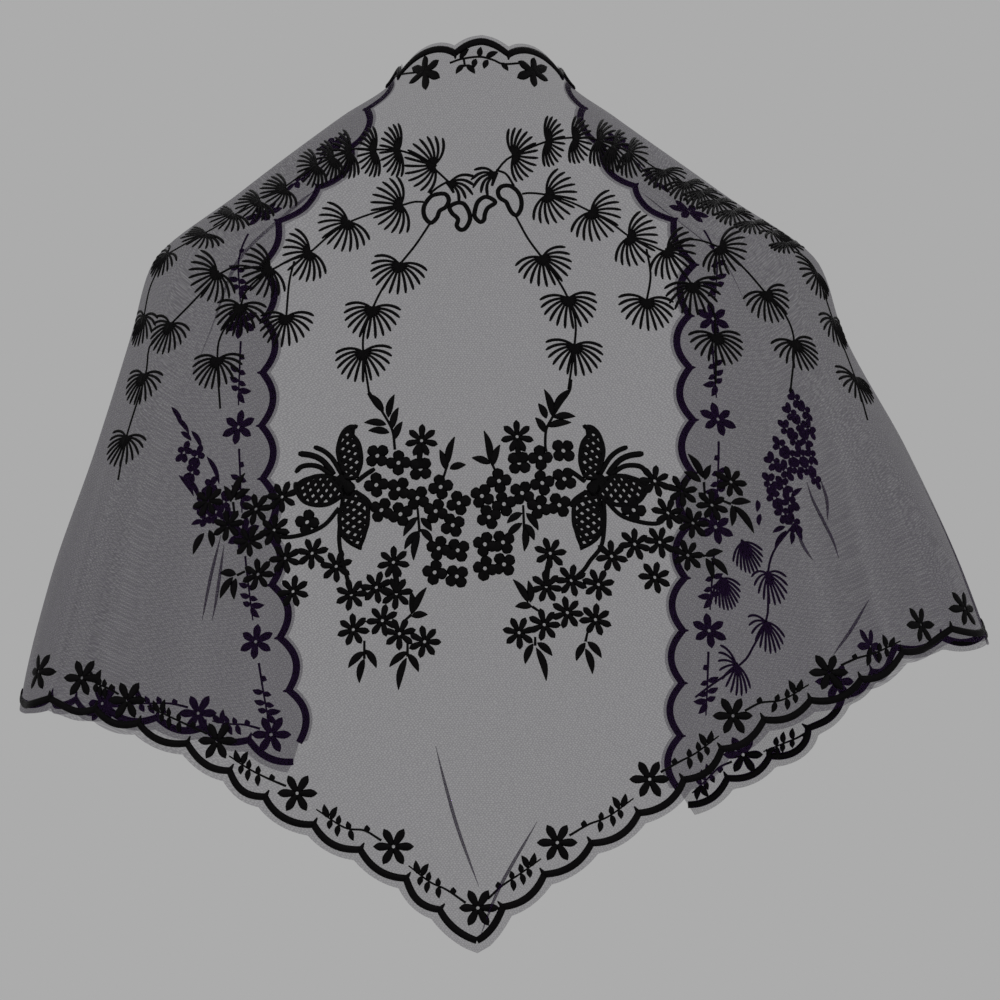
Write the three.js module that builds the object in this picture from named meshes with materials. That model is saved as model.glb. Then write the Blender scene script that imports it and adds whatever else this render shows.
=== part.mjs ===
// A sheer net scarf with embroidered sprays, worn round the shoulders and seen from behind.
//
// The scarf is cut as a wide triangle. The middle of its long edge lies at the nape, its point hangs
// down the back, and its two ends come over the shoulders and hang in front, with the front open.
// Everything is laid on one draped form. A place on the form is an angle round the wearer and a
// level: angle 0 is the middle of the back, -90 the left side, 90 the right side, and past those the
// front. Level is the height above the foot of the neck. Millimetres, +Z up, the back faces -Y.

import * as THREE from 'three';

// Driving sizes
const NET_WALL = 1;
const LIFT = 0.9;
const TRIM_WALL = 1.2;
const CORD_WIDTH = 4;
const CORD_HEIGHT = 1.6;
const EDGE_STRIP = 3;
const NECK_MARGIN = 5;
const NECK_MARGIN_SHARE = 0.85;
const HEM_MARGIN = 7.3;
const HEM_MARGIN_SHARE = 0.58;
const NECK_RISE = 7.2;
const HEM_RISE = 5;
const POINT_SHARE = 0.55;
const STEPS_PER_SCALLOP = 3;
const NET_ROWS = 8;
const ROW_CROWDING = 1.6;
const END_SPAN = 0.965;
const STEM_WIDTH = 2.4;
const FROND_WIDTH = 21;
const FROND_REACH = 0.58;
const FROND_STEM = 0.3;
const STEPS_PER_FROND = 4;
const FLOWER_RADIUS = 10.5;
const NECK_FLOWER_RADIUS = 9.4;
const BEAN_CORD = 2.2;
const BEAN_HALF_WIDTH = 4.2;
const BEAN_HALF_LENGTH = 6.8;
const BEAN_HOLLOW = 1.4;

// Fineness of the curves
const SAMPLES_PER_SPAN = 16;
const ANGLE_PASSES = 5;

// Scallops along each stretch of edge: down the front edge, and along the hem's back and front
const SCALLOPS = {
  left: { frontEdge: 14, backHem: 11, frontHem: 7 },
  right: { frontEdge: 15, backHem: 12, frontHem: 9 },
};

// The draped form, one row a level: half widths to the left and right side folds, and the depth of
// the back and of the front from the plane of the shoulders
const LEVELS = [
  { level: -510, left: 285, right: 325, back: 101, front: 88 },
  { level: -360, left: 266, right: 307, back: 105, front: 95 },
  { level: -290, left: 249, right: 285, back: 108, front: 100 },
  { level: -215, left: 223, right: 251, back: 112, front: 103 },
  { level: -145, left: 201, right: 213, back: 109, front: 99 },
  { level: -107, left: 190, right: 200, back: 103, front: 92 },
  { level: -64, left: 138, right: 142, back: 88, front: 76 },
  { level: -20, left: 79, right: 80, back: 70, front: 56 },
  { level: 0, left: 50, right: 53, back: 62, front: 46 },
  { level: 34, left: 35, right: 37, back: 53, front: 38 },
];

// Soft folds that fall from the shoulders, one row a fold: its angle at the hem, how far it leans
// at the top, its half width in degrees, how far it stands out, and the level where it starts
const FOLDS = [
  { angle: -151, lean: 4, width: 6, out: 7, start: -120 },
  { angle: -128, lean: 6, width: 7, out: 13, start: -130 },
  { angle: -104, lean: 4, width: 6, out: -9, start: -140 },
  { angle: -70, lean: -3, width: 7, out: 7, start: -170 },
  { angle: -48, lean: -5, width: 7, out: -5, start: -200 },
  { angle: 46, lean: 5, width: 7, out: 5, start: -200 },
  { angle: 66, lean: 3, width: 6, out: -7, start: -160 },
  { angle: 106, lean: -4, width: 6, out: 11, start: -130 },
  { angle: 122, lean: -6, width: 6, out: -13, start: -120 },
  { angle: 138, lean: -6, width: 6, out: 13, start: -120 },
  { angle: 154, lean: -4, width: 5, out: -7, start: -120 },
];
const FOLD_RUN = 190;

// The long edge from the nape to the end of the scarf, through the notches between its scallops. Up to
// the side each row also has its number of scallops from the middle
const NECK_EDGE = {
  left: [
    { across: 2.7, level: 15.3, layer: 'back', scallop: 0 },
    { across: -12.8, level: 15.4, layer: 'back', scallop: 0.5 },
    { across: -44.7, level: 3.5, layer: 'back', scallop: 1.5 },
    { across: -48.5, level: -1, layer: 'side', scallop: 2.5 },
    { across: -60, level: -11, layer: 'front' },
    { across: -72, level: -33, layer: 'front' },
    { across: -90, level: -57, layer: 'front' },
    { across: -112, level: -75, layer: 'front' },
    { across: -126, level: -120, layer: 'front' },
    { across: -126, level: -200, layer: 'front' },
    { across: -117, level: -300, layer: 'front' },
    { across: -101, level: -402, layer: 'front' },
  ],
  right: [
    { across: 2.7, level: 15.3, layer: 'back', scallop: 0 },
    { across: 18.3, level: 14.8, layer: 'back', scallop: 0.5 },
    { across: 48.5, level: 3.5, layer: 'back', scallop: 1.5 },
    { across: 53, level: -2, layer: 'side', scallop: 2.5 },
    { across: 61, level: -13, layer: 'front' },
    { across: 72, level: -34, layer: 'front' },
    { across: 91, level: -58, layer: 'front' },
    { across: 112, level: -76, layer: 'front' },
    { across: 126, level: -120, layer: 'front' },
    { across: 128, level: -200, layer: 'front' },
    { across: 124, level: -310, layer: 'front' },
    { across: 118, level: -430, layer: 'front' },
  ],
};

// The hem from the point at the back, round the side, to the end of the scarf. Its rows are its
// notches from the point to the side
const HEM = {
  left: [
    { across: 0, level: -498, layer: 'back' },
    { across: -21.5, level: -480, layer: 'back' },
    { across: -40.9, level: -462, layer: 'back' },
    { across: -67.3, level: -445.4, layer: 'back' },
    { across: -94.3, level: -431, layer: 'back' },
    { across: -122.4, level: -415, layer: 'back' },
    { across: -143, level: -400, layer: 'back' },
    { across: -167.6, level: -384.3, layer: 'back' },
    { across: -196, level: -372.7, layer: 'back' },
    { across: -221.3, level: -364.5, layer: 'back' },
    { across: -248.2, level: -358.7, layer: 'back' },
    { across: -264, level: -358, layer: 'side' },
    { across: -237, level: -360, layer: 'front' },
    { across: -180, level: -372, layer: 'front' },
    { across: -133, level: -384, layer: 'front' },
    { across: -101, level: -401, layer: 'front' },
  ],
  right: [
    { across: 0, level: -498, layer: 'back' },
    { across: 15.1, level: -478.5, layer: 'back' },
    { across: 38.9, level: -459.7, layer: 'back' },
    { across: 66.1, level: -441.7, layer: 'back' },
    { across: 93.4, level: -424.3, layer: 'back' },
    { across: 119.5, level: -405.1, layer: 'back' },
    { across: 141.5, level: -387.4, layer: 'back' },
    { across: 165.9, level: -370.6, layer: 'back' },
    { across: 192.9, level: -359.3, layer: 'back' },
    { across: 222.4, level: -347.1, layer: 'back' },
    { across: 246.8, level: -331.5, layer: 'back' },
    { across: 276.1, level: -318.4, layer: 'back' },
    { across: 294, level: -317, layer: 'side' },
    { across: 262, level: -325, layer: 'front' },
    { across: 240, level: -341, layer: 'front' },
    { across: 217, level: -352, layer: 'front' },
    { across: 196, level: -370, layer: 'front' },
    { across: 186, level: -384, layer: 'front' },
    { across: 170, level: -395, layer: 'front' },
    { across: 148, level: -408, layer: 'front' },
    { across: 118, level: -428, layer: 'front' },
  ],
};

// Flowers along the hem and at the nape, by their places on the back
const HEM_FLOWERS = [
  { across: -255, level: -342 },
  { across: -228, level: -346 },
  { across: -202, level: -359 },
  { across: -149, level: -382 },
  { across: -103, level: -407 },
  { across: -47, level: -440 },
  { across: 1, level: -479 },
  { across: 45, level: -436 },
  { across: 99, level: -400 },
  { across: 148, level: -365 },
  { across: 202, level: -338 },
  { across: 256, level: -316 },
];
const NECK_FLOWERS = [
  { across: -30, level: 5 },
  { across: 32, level: 5 },
];

// Frond garlands, from the first frond to the last
const GARLANDS = {
  upper_garland_left: [
    { across: -26, level: -49 },
    { across: -45, level: -41 },
    { across: -59, level: -42 },
    { across: -74, level: -42 },
    { across: -93, level: -50 },
    { across: -112, level: -64 },
    { across: -128, level: -70 },
    { across: -147, level: -83 },
  ],
  upper_garland_right: [
    { across: 22, level: -44 },
    { across: 41, level: -37 },
    { across: 56, level: -34 },
    { across: 70, level: -35 },
    { across: 88, level: -42 },
    { across: 107, level: -54 },
    { across: 121, level: -61 },
    { across: 149, level: -77 },
  ],
  lower_garland_left: [
    { across: -45, level: -74 },
    { across: -75, level: -84 },
    { across: -97, level: -101 },
    { across: -121, level: -111 },
    { across: -150, level: -114 },
    { across: -176, level: -142 },
  ],
  lower_garland_right: [
    { across: 41, level: -67 },
    { across: 66, level: -77 },
    { across: 89, level: -92 },
    { across: 111, level: -100 },
    { across: 141, level: -98 },
    { across: 168, level: -124 },
    { across: 184, level: -153 },
  ],
  hanging_garland_left: [
    { across: -45, level: -108 },
    { across: -60, level: -133 },
    { across: -66, level: -158 },
    { across: -62, level: -183 },
  ],
  hanging_garland_right: [
    { across: 38, level: -104 },
    { across: 53, level: -128 },
    { across: 56, level: -155 },
    { across: 50, level: -183 },
  ],
};

// Single fronds that hang below the garlands
const FRONDS = [
  { name: 'frond_left_inner', across: -110, level: -138 },
  { name: 'frond_left_middle', across: -137, level: -132 },
  { name: 'frond_left_outer', across: -150, level: -162 },
  { name: 'frond_right_inner', across: 98, level: -129 },
  { name: 'frond_right_outer', across: 138, level: -149 },
];

// Bean-shaped loops of cord under the nape
const BEANS = [
  { name: 'bean_loop_left_outer', across: -23, level: -75, turn: 35 },
  { name: 'bean_loop_left_inner', across: -9, level: -80, turn: -30 },
  { name: 'bean_loop_right_inner', across: 4.5, level: -75, turn: 30 },
  { name: 'bean_loop_right_outer', across: 19, level: -70, turn: -35 },
];

// Sprays of flowers round the butterflies, one row a column: its place and its upper and lower edge
const SPRAYS = {
  outer_spray_left: [
    { across: -160, upper: -253, lower: -262 },
    { across: -148, upper: -246, lower: -282 },
    { across: -137, upper: -252, lower: -290 },
    { across: -126, upper: -242, lower: -298 },
    { across: -115, upper: -242, lower: -303 },
    { across: -104, upper: -264, lower: -304 },
    { across: -92, upper: -268, lower: -288 },
  ],
  outer_spray_right: [
    { across: 157, upper: -228, lower: -244 },
    { across: 146, upper: -222, lower: -262 },
    { across: 135, upper: -236, lower: -284 },
    { across: 123, upper: -230, lower: -290 },
    { across: 112, upper: -229, lower: -298 },
    { across: 101, upper: -240, lower: -296 },
    { across: 90, upper: -262, lower: -280 },
  ],
  blossom_bank_left: [
    { across: -60, upper: -186, lower: -252 },
    { across: -50, upper: -200, lower: -258 },
    { across: -40, upper: -208, lower: -262 },
    { across: -31, upper: -199, lower: -290 },
    { across: -20, upper: -214, lower: -292 },
    { across: -11, upper: -228, lower: -292 },
    { across: -6, upper: -240, lower: -258 },
  ],
  blossom_bank_right: [
    { across: 4, upper: -230, lower: -262 },
    { across: 11, upper: -224, lower: -288 },
    { across: 22, upper: -206, lower: -284 },
    { across: 31, upper: -212, lower: -266 },
    { across: 41, upper: -196, lower: -262 },
    { across: 52, upper: -192, lower: -256 },
  ],
  lower_spray_left: [
    { across: -84, upper: -276, lower: -292 },
    { across: -72, upper: -284, lower: -330 },
    { across: -62, upper: -290, lower: -304 },
    { across: -52, upper: -266, lower: -326 },
    { across: -42, upper: -286, lower: -346 },
    { across: -30, upper: -306, lower: -328 },
  ],
  lower_spray_right: [
    { across: 21, upper: -300, lower: -322 },
    { across: 34, upper: -276, lower: -334 },
    { across: 45, upper: -268, lower: -312 },
    { across: 56, upper: -278, lower: -322 },
    { across: 66, upper: -282, lower: -328 },
    { across: 75, upper: -280, lower: -296 },
  ],
};
const SPRAY_ROWS = 3;

// Butterflies: the centre, and the reach of the outline by direction, mirrored on the right
const BUTTERFLY_CENTRES = [
  { name: 'butterfly_left', across: -77, level: -234, side: -1 },
  { name: 'butterfly_right', across: 68, level: -232, side: 1 },
];
const WINGS = [
  { direction: 55, reach: 7 },
  { direction: 68, reach: 17 },
  { direction: 86, reach: 31 },
  { direction: 104, reach: 24 },
  { direction: 122, reach: 21 },
  { direction: 140, reach: 9 },
  { direction: 158, reach: 21 },
  { direction: 178, reach: 30 },
  { direction: 198, reach: 27 },
  { direction: 216, reach: 18 },
  { direction: 234, reach: 8 },
  { direction: 252, reach: 20 },
  { direction: 276, reach: 33 },
  { direction: 292, reach: 36 },
  { direction: 308, reach: 24 },
  { direction: 326, reach: 8 },
  { direction: 0, reach: 5 },
  { direction: 30, reach: 5 },
];

// Finishes
const NET_FINISH = { color: 0x2e2838, roughness: 0.85, metalness: 0, transparent: true, opacity: 0.6 };
const CORD_FINISH = { color: 0x0b090c, roughness: 0.5, metalness: 0 };
const STITCH_FINISH = { color: 0x0f0c10, roughness: 0.45, metalness: 0 };

const scarf = new THREE.Group();
const radians = THREE.MathUtils.degToRad;

// Value of a column of the levels table, by a smooth curve that never overshoots its rows
function onForm(column, level) {
  const last = LEVELS.length - 1;
  const slope = (k) => (LEVELS[k + 1][column] - LEVELS[k][column]) / (LEVELS[k + 1].level - LEVELS[k].level);
  const tangent = (k) => {
    if (k === 0) return slope(0);
    if (k === last) return slope(last - 1);
    const below = slope(k - 1);
    const above = slope(k);
    return below * above > 0 ? (2 * below * above) / (below + above) : 0;
  };
  const k = Math.min(last - 1, Math.max(0, LEVELS.findIndex((row) => row.level > level) - 1));
  const span = LEVELS[k + 1].level - LEVELS[k].level;
  const t = (level - LEVELS[k].level) / span;
  const rise = (t * t * (3 - 2 * t)) * (LEVELS[k + 1][column] - LEVELS[k][column]);
  const bend = t * (1 - t) * ((1 - t) * tangent(k) - t * tangent(k + 1)) * span;
  return LEVELS[k][column] + rise + bend;
}

// How far the folds stand out at a place
function foldOut(angle, level) {
  let out = 0;
  for (const fold of FOLDS) {
    const run = THREE.MathUtils.smoothstep(fold.start - level, 0, FOLD_RUN);
    const centre = fold.angle + fold.lean * (1 - run);
    const off = (angle - centre) / fold.width;
    out += fold.out * run * Math.exp(-off * off);
  }
  return out;
}

// A point of the form
function formPoint(angle, level) {
  const turn = radians(angle);
  const halfWidth = onForm(angle < 0 ? 'left' : 'right', level);
  const depth = onForm(Math.abs(angle) < 90 ? 'back' : 'front', level);
  const out = foldOut(angle, level);
  return new THREE.Vector3(
    (halfWidth + out) * Math.sin(turn),
    -(depth + out) * Math.cos(turn),
    level,
  );
}

// The form at a place: the point, the steps for one degree and one level, and the outward normal
function formFrame(angle, level) {
  const step = 0.5;
  const around = formPoint(angle + step, level).sub(formPoint(angle - step, level));
  const upward = formPoint(angle, level + step).sub(formPoint(angle, level - step));
  const normal = around.clone().cross(upward).normalize();
  return { point: formPoint(angle, level), around, upward, normal };
}

// The angle on the back at which the form passes a place across
function backAngle(across, level) {
  const halfWidth = onForm(across < 0 ? 'left' : 'right', level);
  let angle = 0;
  for (let pass = 0; pass < ANGLE_PASSES; pass += 1) {
    const share = across / (halfWidth + foldOut(angle, level));
    angle = THREE.MathUtils.radToDeg(Math.asin(THREE.MathUtils.clamp(share, -1, 1)));
  }
  return angle;
}

// A point on the net near a place, offset in true millimetres to the right, upwards and outwards
function onNet(angle, level, right, up, lift) {
  const frame = formFrame(angle, level);
  const nearAngle = angle + right / frame.around.length();
  const nearLevel = level + up / frame.upward.length();
  const near = formFrame(nearAngle, nearLevel);
  return near.point.addScaledVector(near.normal, lift);
}

// The lowest and highest face of the trim above the middle of the net
const TRIM_LOW = NET_WALL / 2 + LIFT;
const TRIM_HIGH = TRIM_LOW + TRIM_WALL;

// An edge as a smooth curve of angle and level, read by its spans between rows, with its true lengths
function edgeCurve(rows) {
  const places = rows.map((row) => {
    const side = Math.sign(row.across);
    const angle = row.layer === 'side' ? side * 90 : backAngle(row.across, row.level);
    return new THREE.Vector3(row.layer === 'front' ? side * 180 - angle : angle, row.level, 0);
  });
  const curve = new THREE.CatmullRomCurve3(places, false, 'catmullrom', 0.5);
  const spans = rows.length - 1;
  const sideSpan = rows.findIndex((row) => row.layer === 'side');
  const at = (span) => curve.getPoint(Math.min(1, span / spans));
  const lengths = [0];
  for (let k = 1; k <= spans * SAMPLES_PER_SPAN; k += 1) {
    const before = at((k - 1) / SAMPLES_PER_SPAN);
    const after = at(k / SAMPLES_PER_SPAN);
    const step = formPoint(after.x, after.y).distanceTo(formPoint(before.x, before.y));
    lengths.push(lengths[k - 1] + step);
  }
  const spanAt = (length) => {
    const k = Math.max(0, lengths.findIndex((value) => value > length) - 1);
    return (k + (length - lengths[k]) / (lengths[k + 1] - lengths[k])) / SAMPLES_PER_SPAN;
  };
  const sideLength = lengths[sideSpan * SAMPLES_PER_SPAN];
  const endLength = sideLength + END_SPAN * (lengths[lengths.length - 1] - sideLength);
  return {
    at,
    onBack: (share) => spanAt(share * sideLength),
    onFront: (share) => spanAt(THREE.MathUtils.lerp(sideLength, endLength, share)),
  };
}

// The number of scallops from the middle at a place between two rows
function scallopsAt(rows, span) {
  const k = Math.floor(span);
  return rows[k + 1].scallop === undefined
    ? rows[k].scallop
    : THREE.MathUtils.lerp(rows[k].scallop, rows[k + 1].scallop, span - k);
}

// How far a scallop rises at a count of scallops, where whole counts are the notches
function scallopRise(count, rise) {
  const part = count % 1;
  return rise * 4 * part * (1 - part);
}

// One column of the net: where it meets the long edge and the hem, and how far each scallop rises
function makeColumns() {
  const columns = [];
  for (const side of ['left', 'right']) {
    const neck = edgeCurve(NECK_EDGE[side]);
    const hem = edgeCurve(HEM[side]);
    const counts = SCALLOPS[side];
    const backSteps = counts.backHem * STEPS_PER_SCALLOP;
    const frontSteps = counts.frontEdge * STEPS_PER_SCALLOP;
    const half = [];
    for (let k = 0; k <= backSteps; k += 1) {
      const onNape = neck.onBack(k / backSteps);
      const onHem = k / STEPS_PER_SCALLOP;
      half.push({
        neck: neck.at(onNape),
        hem: hem.at(onHem),
        neckRise: scallopRise(scallopsAt(NECK_EDGE[side], onNape) + 0.5, NECK_RISE),
        hemRise: scallopRise(onHem, onHem < 1 ? HEM_RISE * POINT_SHARE : HEM_RISE),
      });
    }
    for (let k = 1; k <= frontSteps; k += 1) {
      const share = k / frontSteps;
      half.push({
        neck: neck.at(neck.onFront(share)),
        hem: hem.at(hem.onFront(share)),
        neckRise: scallopRise(share * counts.frontEdge, NECK_RISE),
        hemRise: scallopRise(share * counts.frontHem, HEM_RISE),
      });
    }
    columns.push(...(side === 'left' ? half.reverse() : half.slice(1)));
  }
  return columns;
}

// Frames along an edge: the point of the form, the way up the net from the edge, and the normal
function edgeFrames(columns, edge) {
  return columns.map((column, k) => {
    const place = column[edge];
    const before = columns[Math.max(0, k - 1)][edge];
    const after = columns[Math.min(columns.length - 1, k + 1)][edge];
    const along = formPoint(after.x, after.y).sub(formPoint(before.x, before.y)).normalize();
    const { point, normal } = formFrame(place.x, place.y);
    return { point, normal, up: normal.clone().cross(along).normalize() };
  });
}

// A mesh from a list of points and triangles
function addMesh(name, points, triangles, finish) {
  const geometry = new THREE.BufferGeometry();
  geometry.setAttribute('position', new THREE.Float32BufferAttribute(points.flatMap((p) => p.toArray()), 3));
  geometry.setIndex(triangles.flat());
  geometry.computeVertexNormals();
  const mesh = new THREE.Mesh(geometry, new THREE.MeshStandardMaterial(finish));
  mesh.name = name;
  scarf.add(mesh);
}

// A closed wall from a grid of outer points and a grid of inner points, columns from left to right
function addWall(name, outer, inner, finish) {
  const lastColumn = outer.length - 1;
  const lastRow = outer[0].length - 1;
  const rowCount = lastRow + 1;
  const innerStart = outer.length * rowCount;
  const at = (i, j) => i * rowCount + j;
  const triangles = [];
  for (let i = 0; i < lastColumn; i += 1) {
    for (let j = 0; j < lastRow; j += 1) {
      const corners = [at(i, j), at(i, j + 1), at(i + 1, j + 1), at(i + 1, j)];
      const [a, b, c, d] = corners;
      const [e, f, g, h] = corners.map((corner) => corner + innerStart);
      triangles.push([a, b, c], [a, c, d], [e, g, f], [e, h, g]);
    }
  }
  const rim = [];
  for (let j = 0; j < lastRow; j += 1) rim.push(at(0, j));
  for (let i = 0; i < lastColumn; i += 1) rim.push(at(i, lastRow));
  for (let j = lastRow; j > 0; j -= 1) rim.push(at(lastColumn, j));
  for (let i = lastColumn; i > 0; i -= 1) rim.push(at(i, 0));
  rim.forEach((p, k) => {
    const q = rim[(k + 1) % rim.length];
    triangles.push([q, p, p + innerStart], [q, p + innerStart, q + innerStart]);
  });
  addMesh(name, [...outer.flat(), ...inner.flat()], triangles, finish);
}

// A band from a row of sections, open with two end caps or closed into a ring
function addBand(name, sections, closed, finish) {
  const triangles = [];
  const count = sections.length;
  const corners = sections[0].length;
  const last = closed ? count : count - 1;
  for (let k = 0; k < last; k += 1) {
    const here = k * corners;
    const next = ((k + 1) % count) * corners;
    for (let m = 0; m < corners; m += 1) {
      const n = (m + 1) % corners;
      triangles.push([here + m, here + n, next + n], [here + m, next + n, next + m]);
    }
  }
  const end = (count - 1) * corners;
  for (let m = 1; m < corners - 1 && !closed; m += 1) {
    triangles.push([0, m + 1, m], [end, end + m, end + m + 1]);
  }
  addMesh(name, sections.flat(), triangles, finish);
}

// A plate round a place, its outline a list of directions and reaches in anticlockwise order
function addPlate(name, place, outline, rings, finish) {
  const angle = backAngle(place.across, place.level);
  const points = [];
  const triangles = [];
  for (const lift of [TRIM_HIGH, TRIM_LOW]) {
    points.push(onNet(angle, place.level, 0, 0, lift));
    for (let ring = 1; ring <= rings; ring += 1) {
      for (const { direction, reach } of outline) {
        const turn = radians(direction);
        const span = (reach * ring) / rings;
        points.push(onNet(angle, place.level, span * Math.cos(turn), span * Math.sin(turn), lift));
      }
    }
  }
  const count = outline.length;
  const under = 1 + rings * count;
  const at = (ring, k) => 1 + (ring - 1) * count + (k % count);
  for (let k = 0; k < count; k += 1) {
    triangles.push([0, at(1, k), at(1, k + 1)], [under, under + at(1, k + 1), under + at(1, k)]);
    for (let ring = 1; ring < rings; ring += 1) {
      const [a, b, c, d] = [at(ring, k), at(ring + 1, k), at(ring + 1, k + 1), at(ring, k + 1)];
      triangles.push([a, b, c], [a, c, d]);
      triangles.push([under + a, under + c, under + b], [under + a, under + d, under + c]);
    }
    const p = at(rings, k);
    const q = at(rings, k + 1);
    triangles.push([q, p, under + p], [q, under + p, under + q]);
  }
  addMesh(name, points, triangles, finish);
}

// The net ground: one thin wall from the long edge to the hem, with scalloped edges
function addNetGround(columns) {
  const neckFrames = edgeFrames(columns, 'neck');
  const hemFrames = edgeFrames(columns, 'hem');
  const faces = [NET_WALL / 2, -NET_WALL / 2].map((lift) => columns.map((column, k) => {
    const fromEdge = (frame, way, reach) => frame.point.clone()
      .addScaledVector(frame.up, way * reach)
      .addScaledVector(frame.normal, lift);
    const points = [
      fromEdge(neckFrames[k], 1, column.neckRise * NECK_MARGIN_SHARE + NECK_MARGIN),
      fromEdge(neckFrames[k], -1, EDGE_STRIP),
    ];
    for (let row = 1; row < NET_ROWS; row += 1) {
      const share = (row / NET_ROWS) ** ROW_CROWDING;
      const place = column.neck.clone().lerp(column.hem, share);
      const { point, normal } = formFrame(place.x, place.y);
      points.push(point.addScaledVector(normal, lift));
    }
    points.push(fromEdge(hemFrames[k], 1, EDGE_STRIP));
    points.push(fromEdge(hemFrames[k], -1, column.hemRise * HEM_MARGIN_SHARE + HEM_MARGIN));
    return points;
  }));
  addWall('net_ground', faces[0], faces[1], NET_FINISH);
}

// A corded edge: a ridged cord that follows the scallops on the outer face of the net
function addEdgeCord(name, columns, edge) {
  const toward = edge === 'neck' ? 1 : -1;
  const sections = edgeFrames(columns, edge).map(({ point, normal, up }, k) => {
    const rise = toward * columns[k][edge === 'neck' ? 'neckRise' : 'hemRise'];
    const corner = (offset, lift) => point.clone()
      .addScaledVector(up, rise + offset)
      .addScaledVector(normal, lift);
    const half = CORD_WIDTH / 2;
    return [corner(-half, TRIM_LOW), corner(half, TRIM_LOW), corner(0, TRIM_LOW + CORD_HEIGHT)];
  });
  addBand(name, sections, false, CORD_FINISH);
}

// A flower plate with six pointed petals
function addFlower(name, place, radius) {
  const outline = [];
  for (let petal = 0; petal < 6; petal += 1) {
    outline.push({ direction: 60 * petal + 30, reach: radius });
    outline.push({ direction: 60 * petal + 60, reach: radius * 0.5 });
  }
  addPlate(name, place, outline, 1, STITCH_FINISH);
}

// A garland: a band along a line of fronds, wide at each frond and narrow along the stem
function addGarland(name, rows) {
  const path = new THREE.CatmullRomCurve3(
    rows.map((row) => new THREE.Vector3(row.across, row.level, 0)),
    false,
    'catmullrom',
    0.5,
  );
  const steps = (rows.length - 1) * STEPS_PER_FROND;
  const sections = [];
  for (let k = 0; k <= steps; k += 1) {
    const place = path.getPoint(k / steps);
    const way = path.getTangent(k / steps);
    const swell = Math.cos((Math.PI * k) / STEPS_PER_FROND) ** 2;
    const half = (STEM_WIDTH + (FROND_WIDTH - STEM_WIDTH) * swell) / 2;
    const angle = backAngle(place.x, place.y);
    const corner = (offset, lift) => onNet(angle, place.y, -way.y * offset, way.x * offset, lift);
    sections.push([corner(-half, TRIM_LOW), corner(half, TRIM_LOW), corner(half, TRIM_HIGH), corner(-half, TRIM_HIGH)]);
  }
  addBand(name, sections, false, STITCH_FINISH);
}

// A single frond: a fan with its stem at the top
function addFrond({ name, ...place }) {
  const outline = [];
  for (let ray = 0; ray <= 8; ray += 1) {
    outline.push({ direction: 180 + 22.5 * ray, reach: FROND_WIDTH * FROND_REACH });
  }
  outline.push({ direction: 90, reach: FROND_WIDTH * FROND_STEM });
  addPlate(name, place, outline, 1, STITCH_FINISH);
}

// A bean-shaped loop of cord
function addBean({ name, across, level, turn }) {
  const steps = 12;
  const angle = backAngle(across, level);
  const sections = [];
  for (let k = 0; k < steps; k += 1) {
    const way = (2 * Math.PI * k) / steps;
    const place = (share) => {
      const x = BEAN_HALF_WIDTH * Math.cos(way) + BEAN_HOLLOW * Math.sin(way) ** 2;
      const y = BEAN_HALF_LENGTH * Math.sin(way);
      const lean = radians(turn);
      const size = 1 + share;
      return [size * (x * Math.cos(lean) - y * Math.sin(lean)), size * (x * Math.sin(lean) + y * Math.cos(lean))];
    };
    const corner = (share, lift) => onNet(angle, level, ...place(share), lift);
    const half = BEAN_CORD / (4 * BEAN_HALF_WIDTH);
    sections.push([corner(half, TRIM_LOW), corner(-half, TRIM_LOW), corner(-half, TRIM_HIGH), corner(half, TRIM_HIGH)]);
  }
  addBand(name, sections, true, STITCH_FINISH);
}

// A spray of flowers: a plate between an upper and a lower edge
function addSpray(name, rows) {
  const ordered = [...rows].sort((a, b) => a.across - b.across);
  const faces = [TRIM_HIGH, TRIM_LOW].map((lift) => ordered.map(({ across, upper, lower }) => {
    const points = [];
    for (let row = 0; row <= SPRAY_ROWS; row += 1) {
      const level = upper + ((lower - upper) * row) / SPRAY_ROWS;
      points.push(onNet(backAngle(across, level), level, 0, 0, lift));
    }
    return points;
  }));
  addWall(name, faces[0], faces[1], STITCH_FINISH);
}

// A butterfly with three broad wings
function addButterfly({ name, side, ...place }) {
  const outline = WINGS.map(({ direction, reach }) => ({
    direction: side < 0 ? direction : 180 - direction,
    reach,
  }));
  if (side > 0) outline.reverse();
  addPlate(name, place, outline, 2, STITCH_FINISH);
}

const columns = makeColumns();
addNetGround(columns);
addEdgeCord('neck_edge_cord', columns, 'neck');
addEdgeCord('hem_cord', columns, 'hem');
HEM_FLOWERS.forEach((place, k) => addFlower(`hem_flower_${k + 1}`, place, FLOWER_RADIUS));
NECK_FLOWERS.forEach((place, k) => addFlower(`neck_flower_${k + 1}`, place, NECK_FLOWER_RADIUS));
Object.entries(GARLANDS).forEach(([name, rows]) => addGarland(name, rows));
FRONDS.forEach(addFrond);
BEANS.forEach(addBean);
Object.entries(SPRAYS).forEach(([name, rows]) => addSpray(name, rows));
BUTTERFLY_CENTRES.forEach(addButterfly);

export default scarf;
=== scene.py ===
"""A sheer net scarf with embroidered sprays, draped as it is worn round the shoulders and seen from behind.

The scarf is a wide triangle of fine net. The middle of its long edge lies at the nape, its point hangs
down the back, and its ends come over the shoulders and hang in front. Everything lies on one draped form:
a spot on the form is an angle round its upright axis and a level. Sizes are millimetres until a mesh is
made, which is in metres. Places on the back are read off the photograph and turned into millimetres by
PhotoPlane.
"""

import logging
import math
from dataclasses import dataclass, field
from enum import Enum, IntEnum

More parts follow.
